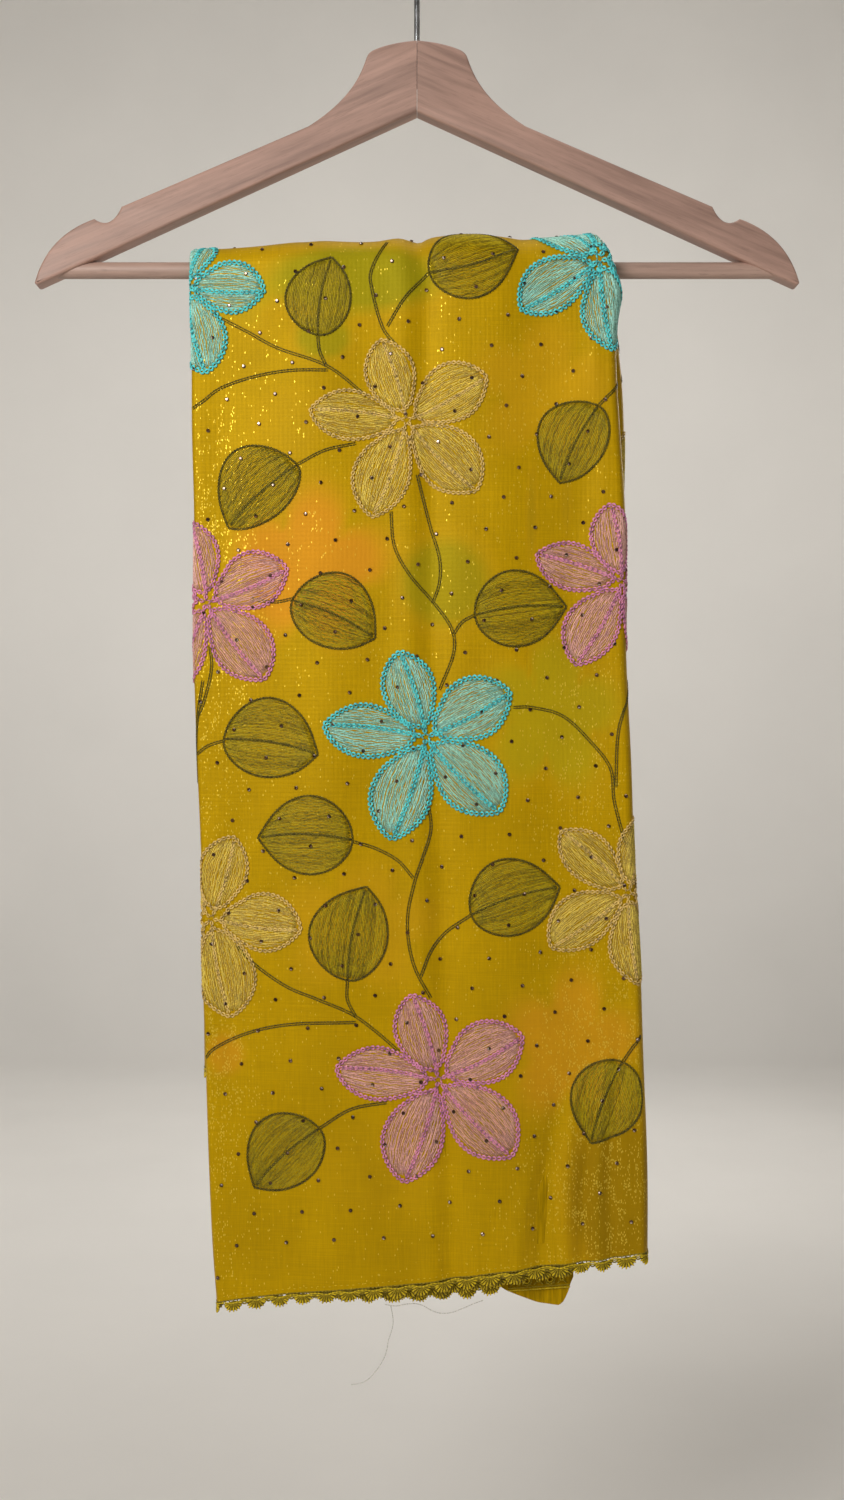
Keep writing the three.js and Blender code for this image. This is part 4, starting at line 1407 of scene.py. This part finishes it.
def turn_rows():
    """Distances along the cloth at x = 0, row by row from the front hem to the back hem."""
    front = CROWN_HALF + HEM_DROP * np.linspace(1, 0, FALL_ROWS)
    crown = np.linspace(CROWN_HALF, -CROWN_HALF, CROWN_ROWS)[1:-1]
    back_length = CLOTH_WIDTH - 2 * CROWN_HALF - HEM_DROP
    back = -CROWN_HALF - back_length * np.linspace(0, 1, FALL_ROWS)
    return np.concatenate([front, crown, back])


def slanted(middle, across):
    """The distance along at a place across, on the row that passes "middle" at x = 0."""
    share_front = np.clip((middle - CROWN_HALF) / HEM_DROP, 0, 1)
    share_back = np.clip((-middle - CROWN_HALF) / back_hem(0), 0, 1)
    front = CROWN_HALF + share_front * front_hem(across)
    back = -CROWN_HALF - share_back * back_hem(across)
    return np.where(middle >= CROWN_HALF, front, np.where(middle <= -CROWN_HALF, back, middle))


class SAREE_OT_outer_turn(bpy.types.Operator):
    """Models the outer turn of tissue, from the front hem over the bar to the back hem"""

    bl_idname = "saree.outer_turn"
    bl_label = "Outer turn"

    def execute(self, context):
        settings = context.scene.saree_cloth
        middle = turn_rows()
        across = column_places(middle, np.zeros_like(middle))
        left, right = face_ends(middle)
        x = np.clip(across, left[:, None], right[:, None])
        along = slanted(middle[:, None], x)
        points = shell(across, along)
        turn = mesh_from("outer_turn", points, grid_faces(*across.shape, True))
        store_cloth_map(turn.data, across.ravel(), along.ravel())
        paint_cloth(turn.data, across.ravel(), along.ravel())
        turn.data.materials.append(tissue_finish(settings))
        take(turn)
        bpy.ops.object.mode_set(mode="EDIT")
        face_outwards()
        bpy.ops.object.mode_set(mode="OBJECT")
        thicken(turn, settings.thickness, -1, use_even_offset=True)
        settle(turn, "wrap_front", "wrap_crown", "wrap_back", slot="tissue")
        return {"FINISHED"}


INNER_DEPTHS = (0.06, 0.2, 0.28, 0.36, 0.45, 0.53, 0.62, 0.71, 0.8, 0.89)
INNER_CLEARANCE = 1.1  # below the outer turn's skin
INNER_LEAF_COLUMNS = 22
INNER_FALL_ROWS = 26


def hanging_below(leaf, x):
    """How far a leaf's edge hangs below the outer turn's hem, most near its middle."""
    near = np.maximum(0, 1 - ((x - leaf["middle"]) / leaf["reach"]) ** 2)
    return leaf["ends"] + (leaf["most"] - leaf["ends"]) * near**0.7


def leaf_at(leaves, depth):
    return next((leaf for leaf in leaves if abs(leaf["depth"] - depth) < 0.03), None)


class SAREE_OT_inner_leaves(bpy.types.Operator):
    """Models the hidden leaves of the folded cloth, whose edges show at both hems"""

    bl_idname = "saree.inner_leaves"
    bl_label = "Inner leaves"

    def execute(self, context):
        settings = context.scene.saree_cloth
        rng = np.random.default_rng(5)
        all_points, all_faces, flat_area, count = [], [], 0.0, 0
        t = np.linspace(0, 1, INNER_LEAF_COLUMNS)
        for index, depth in enumerate(INNER_DEPTHS):
            inset = 5 + 1.5 * ((index * 5) % 4)
            short = 6 + 2.2 * ((index * 7) % 4)
            front, back = leaf_at(FRONT_LEAVES, depth), leaf_at(BACK_LEAVES, depth)
            fall = np.linspace(0, 1, INNER_FALL_ROWS) ** 0.8
            crown = np.linspace(1, -1, CROWN_ROWS)[1:-1]
            phase = rng.uniform(0, TURN)
            rows = []
            for share in fall[::-1]:
                middle = CROWN_HALF + share * HEM_DROP
                rows.append((middle, share, front, front_hem))
            rows.extend((CROWN_HALF * over, 0, None, None) for over in crown)
            for share in fall:
                rows.append((-CROWN_HALF - share * back_hem(0), share, back, back_hem))
            lines = []
            for middle, share, leaf, hem in rows:
                left, right = face_ends(np.array(middle))
                low, high = float(left) + inset, float(right) - inset
                if leaf and share > 0:
                    near = smoothstep(0.9, 0.97, share)
                    low += (leaf["left"] - low) * near
                    high += (leaf["right"] - high) * near
                x = low + t * (high - low)
                along = slanted(np.array(middle), x)
                if hem:
                    past = hanging_below(leaf, x) if leaf else -short
                    along = along + np.sign(middle) * past * share**8
                across_share = (x - float(left)) / (float(right) - float(left))
                thick = pad_thickness(across_share, along, x)
                sway = 0.16 * np.sin(x / 14 + phase) * np.sin(along / 32 + phase)
                highest = thick + np.minimum(relief(x, along), 0) - INNER_CLEARANCE
                lines.append(bend_over_bar(x, np.minimum(thick * depth + sway, highest), along))
            points = np.array(lines)
            all_points.append(points.reshape(-1, 3))
            all_faces.append(grid_faces(len(rows), INNER_LEAF_COLUMNS, False) + count)
            count += points.shape[0] * points.shape[1]
            flat_area += float(np.linalg.norm(points[4][-1] - points[4][0])) * CLOTH_WIDTH
        leaves = mesh_from("inner_leaves", np.concatenate(all_points), np.concatenate(all_faces))
        leaves.data.materials.append(inner_tissue_finish(settings))
        thicken(leaves, settings.thickness, 0)
        settle(leaves, "folded_leaves", slot="leaf_cloth")
        return {"FINISHED"}


SLIPPED_THICK = float(pad_thickness(0.75, 600.0, 70.0))  # of the pad, at the slipped leaf


def slipped_point(x, drop, depth):
    return bend_over_bar(x, depth, np.asarray(drop, float) + CROWN_HALF)


class SAREE_OT_slipped_corner(bpy.types.Operator):
    """Models the inner leaf whose corner has slipped below the lace"""

    bl_idname = "saree.slipped_corner"
    bl_label = "Slipped corner"

    def execute(self, context):
        settings = context.scene.saree_cloth
        columns, rows = 34, 14
        edge_x, drops = zip(*(row.values() for row in SLIPPED_EDGE))
        x = np.linspace(edge_x[0], edge_x[-1], columns)[None, :]
        bottom = (np.interp(x - 1.2, edge_x, drops) + np.interp(x + 1.2, edge_x, drops)) / 2
        top = front_hem(x) - SLIPPED_HEIGHT
        share = np.linspace(0, 1, rows)[:, None]
        drop = top + (bottom - top) * share
        sway = 0.35 * np.sin(x / 6.5) * share**2 + 0.25 * np.sin(x / 3.1 + 1) * share**3
        points = slipped_point(x + 0 * drop, drop, SLIPPED_DEPTH * SLIPPED_THICK + sway)
        corner = mesh_from("slipped_corner", points, grid_faces(rows, columns, False))
        corner.data.materials.append(inner_tissue_finish(settings))
        thicken(corner, settings.thickness, 0)
        settle(corner, "slipped_leaf", slot="leaf_cloth")
        return {"FINISHED"}


# -------- Lace --------

class EdgeLine:
    """A lower edge that lace hangs from: points by distance along it and length below it."""

    def __init__(self, points, out):
        self.points, self.out = points, out
        self.distance = travelled(points)
        self.length = float(self.distance[-1])

    def at(self, distance, below, lift=0.0):
        here = interpolated(distance, self.distance, self.points)
        sunk = np.array([0, 0, -1.0]) * np.asarray(below)[..., None]
        return here + sunk + self.outward(distance) * np.asarray(lift)[..., None]

    def outward(self, distance):
        return unit(interpolated(distance, self.distance, self.out))


def lace_tube(skein, edge, distance, below, radius, shade, sides=5, lift=0.0):
    points = edge.at(distance, below, np.broadcast_to(lift, np.shape(distance)))
    ahead = unit(np.gradient(points, axis=0))
    side = unit(np.cross(edge.outward(distance), ahead))
    skein.tube(points, side, unit(np.cross(ahead, side)), radius, sides, shade)


def crochet_fan(skein, edge, middle, size, droop, rng):
    """One scallop: ridges that spread from the chain like a shell, over a closer web."""
    top = FAN_TOP + droop
    fan_web(skein, edge, middle, top, size)
    for turn in np.linspace(-78, 78, FAN_RIDGES):
        angle = math.radians(turn + rng.uniform(-3, 3))
        reach = size * (FAN_REACH + 0.35 * math.cos(2 * angle)) * rng.uniform(0.93, 1.05)
        share = np.array([0.16, 0.4, 0.66, 0.88, 1.0])
        distance = middle + reach * share * math.sin(angle)
        below = top + reach * 0.94 * share * math.cos(angle) + 0.25 * abs(math.sin(angle))
        radius = size * np.array([0.2, 0.3, 0.43, 0.52, 0.3])
        # painted shade: each ridge darker near the chain and lighter towards its rim
        shade = np.array([0.3, 0.6, 0.86, 1.0, 0.9]) + rng.uniform(-0.12, 0.12)
        lift = 0.25 * np.sin(math.pi * share) + rng.uniform(-0.1, 0.1)
        lace_tube(skein, edge, distance, below, radius, np.clip(shade, 0, 1), 5, lift)


def fan_web(skein, edge, middle, top, size):
    """The thin crochet between a fan's ridges, dark in their shade."""
    rim = np.radians(np.linspace(-82, 82, 13))
    reach = 0.93 * size * FAN_REACH
    distance = np.concatenate([[middle], middle + reach * np.sin(rim)])
    below = np.concatenate([[top - 0.4], top + 0.92 * reach * np.cos(rim)])
    count = len(distance)
    points = [edge.at(distance, below, np.full(count, lift)) for lift in (-0.1, -0.5)]
    j = np.arange(1, count - 1)
    k = np.arange(count)
    faces = [
        np.stack([0 * j, j, j + 1], axis=1),
        np.stack([0 * j, j + 1, j], axis=1) + count,
        np.stack([k, k + count, (k + 1) % count + count, (k + 1) % count], axis=1),
    ]
    skein.add(np.concatenate(points), faces, 0.24)


def crochet_link(skein, edge, start, end):
    """Two short chains that join one fan to the next."""
    t = np.linspace(0, 1, 9)
    # painted shade: the links darker than the fans' rims, the lower chain most
    for hang, radius, shade in ((0.7, 0.42, 0.5), (1.9, 0.46, 0.25)):
        below = FAN_TOP + 0.2 + hang * np.sin(math.pi * t)
        lace_tube(skein, edge, start + (end - start) * t, below, radius, shade)


def crochet_lace(skein, edge, rng, pitch=SCALLOP_PITCH, start=0.5, size=1.0, sag=0.0):
    """A length of lace: two header chains tied together, and a row of fans."""
    count = max(1, int(round(edge.length / pitch)))
    pitch = edge.length / count
    distance = np.arange(0, edge.length, 0.7)
    phase = (distance / pitch - start + 0.5) % 1 - 0.5
    dip = 1.1 * np.exp(-((phase * pitch / 3.4) ** 2))
    wave = np.cos(TURN * distance / 2.1)
    # painted shade: the chain right under the hem and the ties between the chains are darker, the lower
    # chain lighter
    lace_tube(skein, edge, distance, 0.1 + 0 * distance, 0.42 + 0.06 * wave, 0.3 + 0.12 * wave, 5, 0.1)
    lace_tube(skein, edge, distance, 0.95 + dip, 0.38 + 0.08 * wave, 0.9 + 0.1 * wave, 5, 0.35)
    tie_slant, tie_below = np.array([-0.2, 0, 0.2]), np.array([0.1, 0.6, 1.2])
    for at in np.arange(1.2, edge.length, 2.4):
        lace_tube(skein, edge, at + tie_slant, tie_below, 0.36, 0.25, 4, 0.05)
    for k in range(count):
        middle = (k + start) * pitch
        grown = size * rng.uniform(0.95, 1.05)
        crochet_fan(skein, edge, middle, grown, sag + rng.uniform(-0.15, 0.25), rng)
        if k < count - 1:
            crochet_link(skein, edge, middle + 4.2 * grown, middle + pitch - 4.2 * size)


def side_of(front):
    """The sign of "along" on a fall, and its hem."""
    return (1, front_hem) if front else (-1, back_hem)


def turn_edge(front):
    """The outer turn's lower edge, once round."""
    sign, hem = side_of(front)
    middle = np.array([sign * (CROWN_HALF + hem(0))])
    across = column_places(middle, np.zeros(1))[0]
    left, right = face_ends(middle)
    along = slanted(middle, np.clip(across, left, right))
    points = shell(across, along, -0.2)
    outward = shell(across, along, 1.0) - shell(across, along, 0.0)
    under = np.linalg.norm(outward, axis=1) < 0.5
    outward[under] = (0, sign, 0)
    return EdgeLine(np.concatenate([points, points[:1]]), unit(np.concatenate([outward, outward[:1]])))


def leaf_edge(leaf, front):
    """The lower edge of an inner leaf."""
    sign, hem = side_of(front)
    x = np.linspace(leaf["left"], leaf["right"], 60)
    along = sign * (CROWN_HALF + hem(x) + hanging_below(leaf, x))
    left, right = face_ends(np.array(sign * (CROWN_HALF + hem(0))))
    thick = pad_thickness((x - left) / (right - left), along, x)
    points = bend_over_bar(x, thick * leaf["depth"], along)
    out = np.tile([0, -sign, 0.0], (len(x), 1))
    return EdgeLine(points, out)


class SAREE_OT_lace(bpy.types.Operator):
    """Crochets the scalloped lace along every lower edge that shows"""

    bl_idname = "saree.lace"
    bl_label = "Lace"

    def execute(self, context):
        colour = tuple(context.scene.saree_stitch.lace)
        cotton = thread_finish(
            "lace_cotton", scaled(colour, 0.16), scaled(colour, 1.1), scaled(colour, 1.4), gloss=0.6
        )
        rng = np.random.default_rng(11)
        for front, name in ((True, "lace_front"), (False, "lace_back")):
            skein = Skein()
            crochet_lace(skein, turn_edge(front), rng, start=0.62)
            self.hem_stitches(skein, front, rng)
            settle(skein.to_object(f"crochet_{name[5:]}", cotton), name, slot="lace")
            leaves = FRONT_LEAVES if front else BACK_LEAVES
            for k, leaf in enumerate(leaves, 1):
                skein = Skein()
                start = 0.62 - 0.12 * (k % 3)
                crochet_lace(skein, leaf_edge(leaf, front), rng, start=start, size=0.97, sag=0.1 * k)
                settle(skein.to_object(f"crochet_{name[5:]}_{k}", cotton), f"{name}_{k}", slot="lace")
        settle(self.slipped_band(cotton), "lace_slipped", slot="lace")
        return {"FINISHED"}

    def hem_stitches(self, skein, front, rng):
        """Small stitches of the sewing thread that holds the lace, just above the edge."""
        sign, hem = side_of(front)
        for x in np.arange(-112, 126, 3.4):
            across = np.linspace(x, x + 1.3 + rng.uniform(-0.2, 0.2), 4)
            along = sign * (CROWN_HALF + hem(across) - 2.6 - rng.uniform(-0.3, 0.3))
            points, side, out = line_frame(np.stack([across, along], axis=1))
            skein.tube(points + out * 0.12, side, out, tapered(4, 0.22, 0.5), 4, 0.95)

    def slipped_band(self, material):
        """The band of lace on the slipped leaf: chains, with eyelets and small crosses between them."""
        low = SLIPPED_BAND_HEIGHT
        x = np.linspace(SLIPPED_LACE["left"], SLIPPED_LACE["right"], 60)
        top = SLIPPED_BAND_DROP - SLIPPED_BAND_SLOPE * (x - x[0]) - low
        points = slipped_point(x, top, SLIPPED_LACE["depth"] * SLIPPED_THICK)
        edge = EdgeLine(points, np.tile([0, -1.0, 0], (len(x), 1)))
        skein = Skein()
        distance = np.arange(0, edge.length, 0.6)
        beads = 0.4 + 0.12 * np.cos(TURN * distance / 2.1)
        for below, shade in ((0.4, 0.5), (2, 0.4), (low - 1.4, 0.4), (low, 0.9)):
            lace_tube(skein, edge, distance, below + 0 * distance, beads, shade, 5)
        middle = low - 5.2
        turns = np.linspace(0, TURN, 19)
        for k in range(int(edge.length / SLIPPED_EYELETS)):
            at = 4 + SLIPPED_EYELETS * k
            rings = ((2.7, 0.42, 0.75), (1.5, 0.4, 1.0)) if k % 2 else ((1.0, 0.42, 0.8),)
            for radius, thick, shade in rings:
                lace_tube(skein, edge, at + radius * np.sin(turns), middle + radius * np.cos(turns),
                          thick + 0 * turns, shade, 5, 0.15)
            for turn in np.arange(0.125, 1, 0.25) * TURN:
                spoke = np.array([1.4, 2.6, 3.6])
                lace_tube(skein, edge, at + spoke * math.sin(turn), middle + spoke * math.cos(turn),
                          0.34, 0.6, 4)
        return skein.to_object("crochet_slipped", material)


# -------- Embroidery and stones --------

class SAREE_OT_flowers(bpy.types.Operator):
    """Embroiders the flowers, one joined piece for each colour of thread"""

    bl_idname = "saree.flowers"
    bl_label = "Flowers"

    def execute(self, context):
        settings = context.scene.saree_stitch
        cord = settings.cord / MM
        for colour, width in (("teal", 0.94 * cord), ("cream", 0.7 * cord), ("pink", 0.78 * cord)):
            light = tuple(getattr(settings, colour))
            fill = tuple(getattr(settings, f"{colour}_fill"))
            silk = thread_finish(f"{colour}_silk", scaled(light, 0.3), scaled(light, 1.1), fill)
            skein = Skein()
            rng = np.random.default_rng(len(colour) * 7 + 1)
            for flower in FLOWERS:
                for shift in (0, -REPEAT):
                    place = (flower["at"][0], along_of(flower["at"][1]) + shift)
                    if flower["colour"] == colour and back_limit(place, 20):
                        embroider_flower(skein, flower, place, width, rng)
            piece = skein.to_object(f"{colour}_flowers", silk)
            settle(piece, slot=f"{colour}_thread")
        return {"FINISHED"}


class SAREE_OT_leaves(bpy.types.Operator):
    """Embroiders the leaves and the stems"""

    bl_idname = "saree.leaves"
    bl_label = "Leaves and stems"

    def execute(self, context):
        settings = context.scene.saree_stitch
        olive, fill = tuple(settings.leaf), tuple(settings.leaf_fill)
        silk = thread_finish("olive_silk", scaled(olive, 0.2), scaled(olive, 0.9), fill, 0.5)
        leaves, stems = Skein(), Skein()
        rng = np.random.default_rng(23)
        for shift in (0, -REPEAT):
            for leaf in LEAVES:
                if back_limit((leaf["base"][0], along_of(leaf["base"][1]) + shift), 40):
                    embroider_leaf(leaves, leaf, shift, rng)
            for route in STEMS:
                middle = route[len(route) // 2]
                if back_limit((middle[0], along_of(middle[1]) + shift), 40):
                    embroider_stem(stems, route, shift, rng)
        settle(leaves.to_object("embroidered_leaves", silk), slot="leaf_thread")
        settle(stems.to_object("embroidered_stems", silk), slot="leaf_thread")
        return {"FINISHED"}


class SAREE_OT_stones(bpy.types.Operator):
    """Sets the small faceted stones over the whole cloth"""

    bl_idname = "saree.stones"
    bl_label = "Stones"

    def execute(self, context):
        skein = Skein()
        rng = np.random.default_rng(31)
        sides = STONE_SIDES
        turns = TURN * np.arange(sides) / sides
        places = []
        rows = int(CLOTH_WIDTH / STONE_ROW) + 4
        for row in range(-rows, rows):
            for column in range(-8, 9):
                across = (column + (STONE_SHIFT * row) % 1) * STONE_PITCH + rng.uniform(-0.8, 0.8)
                along = row * STONE_ROW - STONE_RISE * across + rng.uniform(-0.8, 0.8)
                places.append((across + STONE_START[0], along + STONE_START[1]))
        places = np.array(places)
        left, right = face_ends(places[:, 1])
        hem = hem_below(places[:, 0], places[:, 1]) + CROWN_HALF - STONE_HEM_GAP
        kept = (places[:, 0] > left - 1) & (places[:, 0] < right + 3) & (np.abs(places[:, 1]) < hem)
        places = places[kept]
        points, out = cloth_frame(places[:, 0], places[:, 1])
        side = unit(np.cross(out, np.array([0, 0, 1.0])) + 1e-6)
        up = np.cross(side, out)
        for point, normal, s, u in zip(points, out, side, up):
            spin = rng.uniform(0, TURN)
            tilt = unit(normal + 0.22 * rng.uniform(-1, 1) * s + 0.22 * rng.uniform(-1, 1) * u)
            rings = [
                point + tilt * height + STONE_RADIUS * share
                * (np.cos(turns + spin)[:, None] * s + np.sin(turns + spin)[:, None] * u)
                for share, height in STONE_RINGS
            ]
            j = np.arange(sides)
            k = (j + 1) % sides
            walls = [np.stack([j + base, k + base, k + base + sides, j + base + sides], axis=1)
                     for base in (0, sides)]
            caps = [np.arange(sides)[::-1][None, :], np.arange(sides)[None, :] + 2 * sides]
            # painted highlight: part of each top facet lit to a random brightness; the sides and the
            # rest of the top are painted dark as shade
            glow = rng.choice((0.2, 0.6, 1.0), p=(0.35, 0.25, 0.4))
            top = np.where(j < 3, glow, 0.1)
            shades = np.concatenate([np.repeat((0.3, 0.1), sides), top])
            skein.add(np.concatenate(rings), walls + caps, shades)
        stones = skein.to_object("stones", crystal_finish())
        stones.data.shade_flat()
        settle(stones, slot="crystal")
        return {"FINISHED"}


# -------- Panel and registration --------

OPERATORS = (
    SAREE_OT_stage,
    SAREE_OT_threads,
    SAREE_OT_hanger_arms,
    SAREE_OT_hanger_bar,
    SAREE_OT_hook,
    SAREE_OT_inner_leaves,
    SAREE_OT_outer_turn,
    SAREE_OT_slipped_corner,
    SAREE_OT_lace,
    SAREE_OT_flowers,
    SAREE_OT_leaves,
    SAREE_OT_stones,
)
SETTINGS = {
    "saree_hanger": HangerSettings,
    "saree_cloth": ClothSettings,
    "saree_stitch": StitchSettings,
    "saree_stage": StageSettings,
}


class SAREE_PT_panel(bpy.types.Panel):
    """Settings and steps of the saree"""

    bl_label = "Saree"
    bl_idname = "SAREE_PT_panel"
    bl_space_type = "VIEW_3D"
    bl_region_type = "UI"
    bl_category = "Saree"

    def draw(self, context):
        for name, group in SETTINGS.items():
            box = self.layout.box()
            settings = getattr(context.scene, name)
            for key in group.__annotations__:
                box.prop(settings, key)
        for operator in OPERATORS:
            self.layout.operator(operator.bl_idname)


def register():
    for group in (*SETTINGS.values(), *OPERATORS, SAREE_PT_panel):
        bpy.utils.register_class(group)
    for name, group in SETTINGS.items():
        setattr(bpy.types.Scene, name, bpy.props.PointerProperty(type=group))


def unregister():
    for name in SETTINGS:
        delattr(bpy.types.Scene, name)
    for group in (SAREE_PT_panel, *reversed(OPERATORS), *SETTINGS.values()):
        bpy.utils.unregister_class(group)


def main():
    register()
    for operator in OPERATORS:
        group, name = operator.bl_idname.split(".")
        getattr(getattr(bpy.ops, group), name)()


if __name__ == "__main__":
    main()
